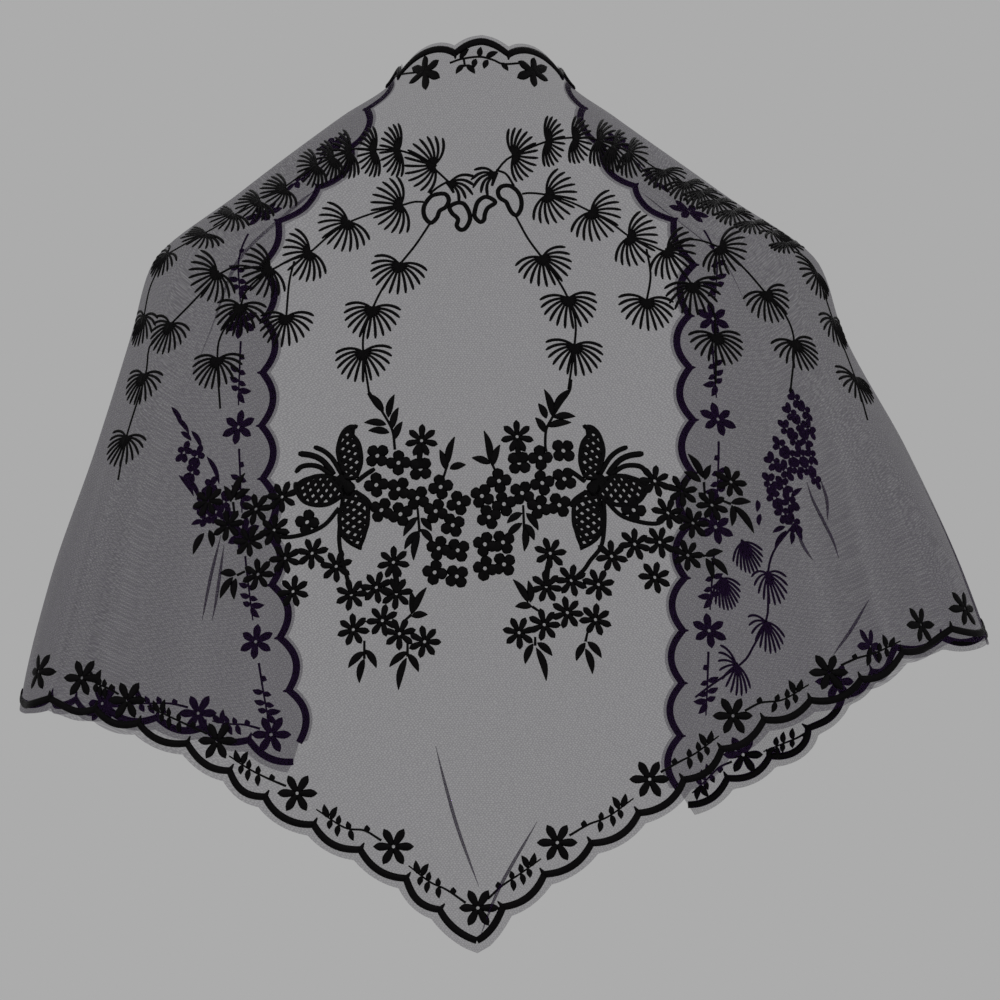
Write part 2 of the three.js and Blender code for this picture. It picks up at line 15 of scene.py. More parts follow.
import bpy
import numpy as np
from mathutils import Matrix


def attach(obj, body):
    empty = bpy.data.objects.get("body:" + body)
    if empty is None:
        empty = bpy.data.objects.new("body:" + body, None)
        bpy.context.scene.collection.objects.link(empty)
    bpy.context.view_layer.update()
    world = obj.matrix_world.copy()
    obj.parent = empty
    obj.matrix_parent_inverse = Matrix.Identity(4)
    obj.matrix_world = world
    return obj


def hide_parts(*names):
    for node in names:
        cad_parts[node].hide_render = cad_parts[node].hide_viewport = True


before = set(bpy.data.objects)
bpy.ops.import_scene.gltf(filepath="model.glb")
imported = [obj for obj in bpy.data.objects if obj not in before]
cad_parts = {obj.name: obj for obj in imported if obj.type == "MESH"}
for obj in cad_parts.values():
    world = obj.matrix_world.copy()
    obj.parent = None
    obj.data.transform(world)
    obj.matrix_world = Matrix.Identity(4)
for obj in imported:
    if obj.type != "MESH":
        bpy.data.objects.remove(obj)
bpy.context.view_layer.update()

MILLIMETRE = 0.001
GOLDEN_SHARE = 0.618
GOLDEN_ANGLE = 137.5
STRAIGHT_DOWN = 270
LEAF_LEAN = 0.85
SPRIG_STATIONS = 25
SHINE = 0.05
Array = np.ndarray
Place = tuple[float, float]
Points = tuple[Place, ...]
Ends = tuple[tuple[float, float, float, float], ...]
Colour = tuple[float, float, float, float]
log = logging.getLogger("lace_scarf")


class Layer(Enum):
    """The part of the drape that a place lies on, as it is seen from behind."""

    BACK = "back"
    SIDE = "side"
    FRONT = "front"


class Girth(IntEnum):
    """The columns of the form's table of levels that hold its sizes."""

    LEFT = 1
    RIGHT = 2
    BACK = 3
    FRONT = 4


@dataclass(frozen=True)
class PhotoPlane:
    """The photograph's picture points as millimetres across and above the frame's origin."""

    origin_column: float = 477
    origin_row: float = 80
    scale: float = 0.58
    width: int = 1000
    height: int = 1000

    def place(self, points: Points | Array) -> Array:
        """Millimetres across and level: the distance from the origin's picture point times the scale."""
        picture = np.asarray(points, dtype=float)
        across = (picture[..., 0] - self.origin_column) * self.scale
        level = (self.origin_row - picture[..., 1]) * self.scale
        return np.stack([across, level], axis=-1)

    def centre(self) -> Array:
        """The place at the middle of the photograph."""
        return self.place(((self.width / 2, self.height / 2),))[0]


PHOTO = PhotoPlane()


def smooth_share(value: Array) -> Array:
    """The value held from 0 to 1, then 3 v squared less 2 v cubed."""
    share = np.clip(value, 0, 1)
    return share * share * (3 - 2 * share)


def catmull_rom(points: Array, places: Array) -> Array:
    """Points of a uniform Catmull-Rom curve, whose ends are carried on in a straight line.

    Args:
        points: the (P, D) points that the curve passes.
        places: where to read the curve, 0 at the first point and P - 1 at the last.

    Returns:
        The curve's points, with the shape of places and D last.
    """
    held = np.vstack([2 * points[0] - points[1], points, 2 * points[-1] - points[-2]])
    spans = len(points) - 1
    place = np.clip(places, 0, spans)
    k = np.minimum(place.astype(int), spans - 1)
    t = (place - k)[..., None]
    before, here, after, beyond = held[k], held[k + 1], held[k + 2], held[k + 3]
    square = 2 * before - 5 * here + 4 * after - beyond
    cube = 3 * here - before - 3 * after + beyond
    return 0.5 * (2 * here + (after - before) * t + square * t**2 + cube * t**3)


def run_lengths(points: Array) -> Array:
    """The length run along each line of points, from 0 at its first point."""
    steps = np.linalg.norm(np.diff(points, axis=-2), axis=-1)
    return np.concatenate([np.zeros(steps.shape[:-1] + (1,)), np.cumsum(steps, axis=-1)], axis=-1)


def smooth_line(points: Points | Array, count: int, fineness: int = 24) -> Array:
    """Count points, evenly spaced by length, on a Catmull-Rom curve through the given points.

    The curve's length is measured on as many samples a span as its fineness.
    """
    fixed = np.asarray(points, dtype=float)
    spans = len(fixed) - 1
    fine = catmull_rom(fixed, np.linspace(0, spans, fineness * spans + 1))
    reach = run_lengths(fine)
    wanted = np.linspace(0, reach[-1], count)
    return np.stack([np.interp(wanted, reach, fine[:, axis]) for axis in range(fine.shape[1])], axis=-1)


def smooth_loop(points: Points | Array, count: int) -> Array:
    """Count points on a closed Catmull-Rom curve through the given points."""
    fixed = np.asarray(points, dtype=float)
    wrapped = np.vstack([fixed[-2:], fixed, fixed[:3]])
    return catmull_rom(wrapped, np.linspace(2, 2 + len(fixed), count))


def arched_lines(starts: Array, ends: Array, bends: Array | float, stations: int) -> Array:
    """Lines from starts to ends: straight ones plus the bend times their length times a sine of the
    share along, square to them."""
    share = np.linspace(0, 1, stations)[:, None]
    reach = (ends - starts)[:, None]
    square = reach[..., ::-1] * np.array([-1, 1]) * bends
    return starts[:, None] + share * reach + np.sin(np.pi * share) * square


def unit(vectors: Array) -> Array:
    """The vectors divided by their own lengths."""
    return vectors / np.maximum(np.linalg.norm(vectors, axis=-1, keepdims=True), 1e-9)


@dataclass(frozen=True)
class Fold:
    """A soft fold that falls from the shoulders: its angle at the hem, lean at the top, half width,
    how far it stands out, and the level where it starts."""

    angle: float
    lean: float
    width: float
    out: float
    start: float


@dataclass
class DrapedForm:
    """The form that the whole scarf lies on, with its folds."""

    levels: Array = field(default_factory=lambda: np.array([
        # level, half width left, half width right, depth of the back, depth of the front
        (-510, 285, 325, 101, 88),
        (-360, 266, 307, 105, 95),
        (-290, 249, 285, 108, 100),
        (-215, 223, 251, 112, 103),
        (-145, 201, 213, 109, 99),
        (-107, 190, 200, 103, 92),
        (-64, 138, 142, 88, 76),
        (-20, 79, 80, 70, 56),
        (0, 50, 53, 62, 46),
        (34, 35, 37, 53, 38),
    ], dtype=float))
    folds: tuple[Fold, ...] = (
        Fold(-151, 4, 6, 7, -120),
        Fold(-128, 6, 7, 13, -130),
        Fold(-104, 4, 6, -9, -140),
        Fold(-70, -3, 7, 7, -170),
        Fold(-48, -5, 7, -5, -200),
        Fold(46, 5, 7, 5, -200),
        Fold(66, 3, 6, -7, -160),
        Fold(106, -4, 6, 11, -130),
        Fold(122, -6, 6, -13, -120),
        Fold(138, -6, 6, 13, -120),
        Fold(154, -4, 5, -7, -120),
    )
    fold_run: float = 190
    widest_sine: float = 0.9998
    passes: int = 5

    def half_width(self, angle: Array, level: Array) -> Array:
        """The form's half width on the side that the angle is on."""
        return np.where(angle < 0, self._size(Girth.LEFT, level), self._size(Girth.RIGHT, level))

    def _size(self, column: Girth, level: Array) -> Array:
        """A column of the levels by a cubic whose slopes never overshoot its rows.

        Between two rows it is a smooth step plus t (1 - t) times the two slopes' pull, where a row's
        slope is the harmonic mean of the slopes on both sides, or 0 where those differ in sign.
        """
        knots, values = self.levels[:, 0], self.levels[:, column]
        slopes = np.diff(values) / np.diff(knots)
        below, above = slopes[:-1], slopes[1:]
        same = below * above > 0
        mean = np.where(same, 2 * below * above / np.where(same, below + above, 1), 0)
        pull = np.concatenate([slopes[:1], mean, slopes[-1:]])
        k = np.clip(np.searchsorted(knots, level, side="right") - 1, 0, len(knots) - 2)
        span = knots[k + 1] - knots[k]
        t = (level - knots[k]) / span
        rise = t * t * (3 - 2 * t) * (values[k + 1] - values[k])
        bend = t * (1 - t) * ((1 - t) * pull[k] - t * pull[k + 1]) * span
        return values[k] + rise + bend

    def fold_out(self, angle: Array, level: Array) -> Array:
        """How far the folds stand out: the sum of bell curves across the angle that grow downwards."""
        table = np.array([(f.angle, f.lean, f.width, f.out, f.start) for f in self.folds])
        centre, lean, width, out, start = table.T
        run = smooth_share((start - level[..., None]) / self.fold_run)
        off = (angle[..., None] - centre - lean * (1 - run)) / width
        return np.sum(out * run * np.exp(-off * off), axis=-1)

    def point(self, spots: Array) -> Array:
        """The form's point: x is half width times the sine of the angle, y is minus the depth times
        its cosine, z is the level, with the folds added to half width and depth."""
        angle, level = spots[..., 0], spots[..., 1]
        turn = np.radians(angle)
        on_back = np.abs(angle) < 90
        depth = np.where(on_back, self._size(Girth.BACK, level), self._size(Girth.FRONT, level))
        out = self.fold_out(angle, level)
        across = (self.half_width(angle, level) + out) * np.sin(turn)
        return np.stack([across, -(depth + out) * np.cos(turn), level], axis=-1)

    def steps(self, spots: Array) -> tuple[Array, Array]:
        """The form's steps for one degree round and for one millimetre of level, half to each side."""
        turn, rise = np.eye(2) / 2
        around = self.point(spots + turn) - self.point(spots - turn)
        upward = self.point(spots + rise) - self.point(spots - rise)
        return around, upward

    def step_sizes(self, spots: Array) -> Array:
        """The true lengths of the form's two steps."""
        return np.stack([np.linalg.norm(step, axis=-1) for step in self.steps(spots)], axis=-1)

    def flank_shading(self, spots: Array) -> Array:
        """How steeply a fold's flank leaves the form, which the net's finish turns into painted shading:
        its change outwards over the way round.
        """
        one_degree = np.array([1.0, 0])
        ahead, behind = spots + one_degree, spots - one_degree
        change = self.fold_out(ahead[..., 0], ahead[..., 1]) - self.fold_out(behind[..., 0], behind[..., 1])
        return np.abs(change) / np.linalg.norm(self.point(ahead) - self.point(behind), axis=-1)

    def normal(self, spots: Array) -> Array:
        """The outward direction: the step round crossed with the step upward."""
        around, upward = self.steps(spots)
        return unit(np.cross(around, upward))

    def spots(self, places: Array, layer: Layer = Layer.BACK) -> Array:
        """The spots of the form behind places across and level, as they are seen from behind.

        The angle's sine is the place across over the half width, found in a few passes because the
        folds add to the half width. On the front the angle is a half turn less that angle.
        """
        across, level = places[..., 0], places[..., 1]
        if layer is Layer.SIDE:
            return np.stack([np.sign(across) * 90, level], axis=-1)
        half = self.half_width(across, level)
        angle = np.zeros(across.shape)
        for _ in range(self.passes):
            sine = across / (half + self.fold_out(angle, level))
            angle = np.degrees(np.arcsin(np.clip(sine, -self.widest_sine, self.widest_sine)))
        if layer is Layer.FRONT:
            angle = np.where(across < 0, -180, 180) - angle
        return np.stack([angle, level], axis=-1)


@dataclass
class ScallopedEdge:
    """An edge of the scarf, numbered by scallops from the middle of the back: - left and + right.

    Each line's rows are a place across, a level and a layer, from the middle of the back to the end.
    The rows up to the side have their own scallop numbers, and on the front the scallops are even.
    """

    form: DrapedForm
    left: tuple[tuple[float, float, Layer], ...]
    right: tuple[tuple[float, float, Layer], ...]
    back_numbers: tuple[tuple[float, ...], tuple[float, ...]]
    front_scallops: tuple[float, float]
    phase: float
    way: int
    rise: float
    margin: float
    margin_share: float
    point_share: float = 0.55
    end_span: float = 0.965
    samples_per_span: int = 16

    def __post_init__(self) -> None:
        """Measures the two halves of the edge along the form."""
        self.lines = {-1: self._measure(self.left), 1: self._measure(self.right)}
        self.back_scallops = (self.back_numbers[0][-1], self.back_numbers[1][-1])

    def _measure(self, rows: tuple) -> tuple[Array, Array, float]:
        """The spots that a half passes, the lengths of its samples, and the length to the side."""
        knots = np.array([self.form.spots(np.array((across, level), dtype=float), layer)
                          for across, level, layer in rows])
        spans = len(rows) - 1
        places = np.linspace(0, spans, spans * self.samples_per_span + 1)
        lengths = run_lengths(self.form.point(catmull_rom(knots, places)))
        side = [layer for _, _, layer in rows].index(Layer.SIDE)
        return knots, lengths, lengths[side * self.samples_per_span]

    def _row_places(self, lengths: Array, wanted: Array) -> Array:
        """Where the wanted lengths fall, counted in rows."""
        return np.interp(wanted, lengths, np.arange(len(lengths)) / self.samples_per_span)

    def spots(self, numbers: Array) -> Array:
        """The spots of the notch line at scallop numbers: up to the side by the numbers of the rows,
        and past it by true length."""
        found = np.empty(numbers.shape + (2,))
        for side, back_numbers, front_count in zip((-1, 1), self.back_numbers, self.front_scallops):
            knots, lengths, side_length = self.lines[side]
            chosen = numbers < 0 if side < 0 else numbers >= 0
            count = np.abs(numbers[chosen])
            front_share = np.clip((count - back_numbers[-1]) / front_count, 0, 1)
            length = side_length + front_share * self.end_span * (lengths[-1] - side_length)
            on_front = self._row_places(lengths, length)
            on_back = np.interp(count, back_numbers, np.arange(len(back_numbers)))
            found[chosen] = catmull_rom(knots, np.where(count <= back_numbers[-1], on_back, on_front))
        return found

    def even_numbers(self, side: int, shares: Array) -> Array:
        """The scallop numbers at shares of the true length from the middle to the side."""
        _, lengths, side_length = self.lines[side]
        places = self._row_places(lengths, shares * side_length)
        back_numbers = self.back_numbers[(side + 1) // 2]
        return np.interp(places, np.arange(len(back_numbers)), back_numbers)

    def bulge(self, numbers: Array) -> Array:
        """How far a scallop stands out past the notch line: a parabola, 4 rise p (1 - p), which is
        flatter in the two scallops that meet at the point of the back."""
        part = (np.abs(numbers) + self.phase) % 1
        beside_point = (self.phase == 0) & (np.abs(numbers) < 1)
        return 4 * self.rise * part * (1 - part) * np.where(beside_point, self.point_share, 1)

    def outward(self, numbers: Array) -> Array:
        """The step in angle and level for one true millimetre out of the cloth, square to the edge.

        The edge's direction crossed with the normal lies in the cloth, and is written as so much of
        the form's step round and so much of its step upward by solving two equations.
        """
        spots = self.spots(numbers)
        near = 0.03
        ahead, behind = self.spots(numbers + near), self.spots(numbers - near)
        along = unit(self.form.point(ahead) - self.form.point(behind))
        out = self.way * np.cross(self.form.normal(spots), along)
        around, upward = self.form.steps(spots)
        aa = np.sum(around * around, axis=-1)
        au = np.sum(around * upward, axis=-1)
        uu = np.sum(upward * upward, axis=-1)
        oa = np.sum(out * around, axis=-1)
        ou = np.sum(out * upward, axis=-1)
        size = aa * uu - au * au
        return np.stack([(oa * uu - ou * au) / size, (ou * aa - oa * au) / size], axis=-1)

    def moved_out(self, numbers: Array, distance: Array | float) -> Array:
        """The spots at a true distance out from the notch line."""
        return self.spots(numbers) + self.outward(numbers) * np.asarray(distance)[..., None]


def neck_edge(form: DrapedForm) -> ScallopedEdge:
    """The long edge, round the nape, over the shoulders and down both fronts."""
    back, side, front = Layer.BACK, Layer.SIDE, Layer.FRONT
    left = ((2.7, 15.3, back), (-12.8, 15.4, back), (-44.7, 3.5, back), (-48.5, -1, side),
            (-60, -11, front), (-72, -33, front), (-90, -57, front), (-112, -75, front),
            (-126, -120, front), (-126, -200, front), (-117, -300, front), (-101, -402, front))
    right = ((2.7, 15.3, back), (18.3, 14.8, back), (48.5, 3.5, back), (53, -2, side), (61, -13, front),
             (72, -34, front), (91, -58, front), (112, -76, front), (126, -120, front),
             (128, -200, front), (124, -310, front), (118, -430, front))
    numbers = (0, 0.5, 1.5, 2.5)
    return ScallopedEdge(form, left, right, (numbers, numbers), (14, 15), phase=0.5, way=1, rise=7.2,
                         margin=5, margin_share=0.85)


def hem_edge(form: DrapedForm) -> ScallopedEdge:
    """The two short edges, from the point at the back round the sides to the ends in front."""
    back, side, front = Layer.BACK, Layer.SIDE, Layer.FRONT
    left = ((0, -498, back), (-21.5, -480, back), (-40.9, -462, back), (-67.3, -445.4, back),
            (-94.3, -431, back), (-122.4, -415, back), (-143, -400, back), (-167.6, -384.3, back),
            (-196, -372.7, back), (-221.3, -364.5, back), (-248.2, -358.7, back), (-264, -358, side),
            (-237, -360, front), (-180, -372, front), (-133, -384, front), (-101, -401, front))
    right = ((0, -498, back), (15.1, -478.5, back), (38.9, -459.7, back), (66.1, -441.7, back),
             (93.4, -424.3, back), (119.5, -405.1, back), (141.5, -387.4, back), (165.9, -370.6, back),
             (192.9, -359.3, back), (222.4, -347.1, back), (246.8, -331.5, back), (276.1, -318.4, back),
             (294, -317, side), (262, -325, front), (240, -341, front), (217, -352, front),
             (196, -370, front), (186, -384, front), (170, -395, front), (148, -408, front),
             (118, -428, front))
    numbers = (tuple(range(12)), tuple(range(13)))
    return ScallopedEdge(form, left, right, numbers, (7, 9), phase=0, way=-1, rise=5, margin=7.3,
                         margin_share=0.58)


def make_piece(name: str, points: Array, faces: Array, attributes: dict[str, Array]) -> bpy.types.Object:
    """A mesh object at the origin.

    Args:
        name: the piece's name.
        points: (V, 3) points in millimetres.
        faces: (F, 4) corners of the faces, anticlockwise from outside.
        attributes: (V, 3) values a point, by name.

    Returns:
        The new object, in the scene.
    """
    mesh = bpy.data.meshes.new(name)
    mesh.from_pydata(points * MILLIMETRE, [], faces)
    mesh.shade_smooth()
    for key, values in attributes.items():
        layer = mesh.attributes.new(key, "FLOAT_VECTOR", "POINT")
        layer.data.foreach_set("vector", np.ascontiguousarray(values, dtype=np.float32).ravel())
    piece = bpy.data.objects.new(name, mesh)
    bpy.context.scene.collection.objects.link(piece)
    return piece


def grid_faces(columns: int, rows: int) -> Array:
    """The faces of a grid of columns by rows, whose point (i, j) has the number i * rows + j."""
    i, j = np.meshgrid(np.arange(columns - 1), np.arange(rows - 1), indexing="ij")
    corner = (i * rows + j).ravel()
    return np.stack([corner, corner + 1, corner + rows + 1, corner + rows], axis=-1)


def face_area(points: Array, faces: Array) -> float:
    """The area of four-cornered faces, each as two triangles from its first corner."""
    corners = points[faces]
    edges = corners[:, 1:] - corners[:, :1]
    doubled = np.cross(edges[:, :-1], edges[:, 1:])
    return float(np.linalg.norm(doubled, axis=-1).sum() / 2)


@dataclass
class NetCloth:
    """The net ground: one surface from the long edge to the hem."""

    form: DrapedForm
    neck: ScallopedEdge
    hem: ScallopedEdge
    back_steps: int = 12
    front_steps: int = 8
    rows: int = 80
    crowding: float = 1.6
    margin_rows: tuple[float, ...] = (1, 0.66, 0.33)

    def numbers(self) -> tuple[Array, Array]:
        """The scallop numbers of every column of the net, on the long edge and on the hem."""
        halves = []
        for side in (0, 1):
            hem_back, neck_front = self.hem.back_scallops[side], self.neck.front_scallops[side]
            back = np.linspace(0, 1, int(hem_back * self.back_steps) + 1)
            front = np.linspace(0, 1, int(neck_front * self.front_steps) + 1)[1:]
            nape = self.neck.even_numbers(2 * side - 1, back)
            on_neck = np.concatenate([nape, nape[-1] + front * neck_front])
            on_hem = np.concatenate([back * hem_back, hem_back + front * self.hem.front_scallops[side]])
            halves.append(np.stack([on_neck, on_hem]))
        both = np.concatenate([-halves[0][:, :0:-1], halves[1]], axis=1)
        return both[0], both[1]

    def spots(self) -> Array:
        """The spots of the net's points: straight lines from edge to edge in angle and level, with
        rows that crowd towards the neck as a power of their share, and a margin past both edges."""
        on_neck, on_hem = self.numbers()
        top, bottom = self.neck.spots(on_neck), self.hem.spots(on_hem)
        shares = np.linspace(0, 1, self.rows + 1) ** self.crowding
        inner = top[:, None] + shares[None, :, None] * (bottom - top)[:, None]
        strips = []
        for edge, numbers in ((self.neck, on_neck), (self.hem, on_hem)):
            reach = edge.margin_share * edge.bulge(numbers) + edge.margin
            margin = [edge.moved_out(numbers, reach * share) for share in self.margin_rows]
            strips.append(np.stack(margin, axis=1))
        return np.concatenate([strips[0], inner, strips[1][:, ::-1]], axis=1)

    def cloth_lengths(self, spots: Array, points: Array) -> Array:
        """Where each point lies in the flat cloth: true lengths round and upward, added up along the
        long edge and then down each column."""
        around, upward = self.form.steps(spots)
        ahead = unit(around)
        rise = unit(upward - ahead * np.sum(upward * ahead, axis=-1, keepdims=True))
        frames = np.stack([ahead, rise], axis=-2)
        top = len(self.margin_rows)
        along = np.einsum("ijk,ik->ij", frames[:-1, top], np.diff(points[:, top], axis=0))
        down = np.einsum("ijkl,ijl->ijk", frames[:, :-1], np.diff(points, axis=1))
        start = np.concatenate([np.zeros((1, 2)), np.cumsum(along, axis=0)])
        run = np.concatenate([np.zeros((len(start), 1, 2)), np.cumsum(down, axis=1)], axis=1)
        return start[:, None] + run - run[:, top:top + 1]

    def build(self, finish: bpy.types.Material) -> bpy.types.Object:
        """Makes the net."""
        spots = self.spots()
        points = self.form.point(spots)
        columns, rows = points.shape[:2]
        cloth = self.cloth_lengths(spots, points)
        # The third value is the steepness of fold flanks, which the net's finish uses as painted shading.
        attribute = np.concatenate([cloth, self.form.flank_shading(spots)[..., None]], axis=-1)
        faces = grid_faces(columns, rows)
        piece = make_piece("net_cloth", points.reshape(-1, 3), faces, {"cloth": attribute.reshape(-1, 3)})
        piece.data.materials.append(finish)
        width = run_lengths(points[:, 0])[-1]
        length = run_lengths(points[columns // 2])[-1]
        area = face_area(points.reshape(-1, 3), faces) * MILLIMETRE ** 2
        log.info("net: long edge %.0f mm, nape to point %.0f mm, area %.4f m2", width, length, area)
        return piece


@dataclass(frozen=True)
class Motif:
    """Strokes of satin stitch in true millimetres: (K, N, 2) lines with (K, N) half widths."""

    lines: Array
    halves: Array

    def turned(self, degrees: float, mirror: bool = False) -> "Motif":
        """The motif mirrored from left to right where asked, and then turned."""
        turn = np.radians(degrees)
        spin = np.array([[np.cos(turn), np.sin(turn)], [-np.sin(turn), np.cos(turn)]])
        flip = np.array([-1 if mirror else 1, 1])
        return Motif(self.lines * flip @ spin, self.halves)

    def scaled(self, across: float, upward: float, thickness: float = 1) -> "Motif":
        """The motif with its own shares of width, height and stroke."""
        return Motif(self.lines * np.array([across, upward]), self.halves * thickness)


def petal_halves(share: Array, half: float, widest: float = 0.62, fullness: float = 0.75,
                 root: float = 0.5) -> Array:
    """A petal's half widths: from its root's share they rise as a quarter sine to the widest place,
    and fall as a power of a quarter cosine to its thin tip."""
    thinnest = 0.08
    swell = np.sin(np.pi / 2 * np.clip(share / widest, 0, 1))
    fall = np.cos(np.pi / 2 * np.clip((share - widest) / (1 - widest), 0, 1))
    profile = np.where(share < widest, root + (1 - root) * swell, fall ** fullness)
    return half * np.clip(profile, thinnest, 1)


def petals(count: int, reach: float, half: float, start: float = 0.9, widest: float = 0.62,
           first: float = 90, fullness: float = 0.75, root: float = 0.5) -> Motif:
    """A flower of straight petals, evenly turned from the first one's angle."""
    stations = 7
    share = np.linspace(0, 1, stations)
    profile = petal_halves(share, half, widest, fullness, root)
    turns = np.radians(first + 360 / count * np.arange(count))
    distance = start + (reach - start) * share
    lines = np.stack([np.cos(turns)[:, None] * distance, np.sin(turns)[:, None] * distance], axis=-1)
    return Motif(lines, np.tile(profile, (count, 1)))


def ring(radius: float, half: float, steps: int = 12) -> Motif:
    """A small closed ring of satin stitch round a flower's open eye."""
    turn = np.linspace(0, 2 * np.pi, steps + 1)
    line = np.stack([radius * np.cos(turn), radius * np.sin(turn)], axis=-1)
    return Motif(line[None], np.full((1, steps + 1), half))


def frond(spread: float = 116, strokes: int = 13, reach: float = 17.6, stations: int = 10) -> Motif:
    """A palm-like fan that hangs from its stem, as wide as twice the spread in degrees.

    Every stroke sets out at its own angle from the axis and bends back towards it as it goes, as
    angle times (1.1 - 0.6 s), and ends in a round tip.
    """
    angles = np.radians(np.linspace(-spread, spread, strokes))
    hub = np.zeros((strokes, 1))
    share = np.linspace(0, 1, stations)
    middle = (share[1:] + share[:-1]) / 2
    heading = angles[:, None] * (1.1 - 0.6 * middle)
    step = reach / (stations - 1)
    side = np.concatenate([hub, np.cumsum(np.sin(heading) * step, axis=1)], axis=1)
    down = np.concatenate([hub, np.cumsum(-np.cos(heading) * step, axis=1)], axis=1)
    half = np.interp(share, (0, 0.25, 0.7, 0.94, 1), (0.75, 0.78, 0.92, 0.9, 0.5))
    return Motif(np.stack([side, down], axis=-1), np.tile(half, (strokes, 1)))


def frond_heart(above: float = 1.8, length: float = 7.2) -> Motif:
    """The thick knot of stitches where a fan's strokes meet, from above its hub downwards."""
    half = np.array([0.5, 1.5, 2.1, 2.0, 1.3, 0.4])
    share = np.linspace(0, 1, len(half))
    line = np.stack([np.zeros(len(half)), above - length * share], axis=-1)
    return Motif(line[None], half[None])


def fan_shapes(axis: float, spread: float = 116, strokes: int = 13) -> tuple[Motif, Motif]:
    """A fan and its heart, turned so that the middle stroke points along the axis in degrees."""
    return tuple(shape.turned(axis - STRAIGHT_DOWN) for shape in (frond(spread, strokes), frond_heart()))


def leaf_halves(share: Array, half: float, fullness: float, thinnest: float) -> Array:
    """A leaf's half widths: a power of a sine, widest a little before the middle of the leaf."""
    return half * np.clip(np.sin(np.pi * share ** LEAF_LEAN) ** fullness, thinnest, 1)


def leaf(length: float, half: float, bend: float = 0.08) -> Motif:
    """A pointed leaf along +x, whose line is a shallow arc."""
    stations = 7
    share = np.linspace(0, 1, stations)
    line = np.stack([length * share, bend * length * np.sin(np.pi * share)], axis=-1)
    return Motif(line[None], leaf_halves(share, half, fullness=0.8, thinnest=0.1)[None])


# Share along the stem, side that it stands on, length, half width and angle from the stem's heading
SPRIG_LEAVES = (
    (0.22, 1, 4.4, 1.9, 50), (0.45, 1, 5.0, 1.7, 62), (0.45, -1, 7.0, 1.8, 112), (0.61, 1, 5.6, 1.7, 62),
    (0.61, -1, 7.0, 1.8, 112), (0.76, -1, 5.6, 1.8, 112), (0.78, 1, 8.6, 2.0, 36), (0.74, 1, 8.2, 2.0, 80),
)


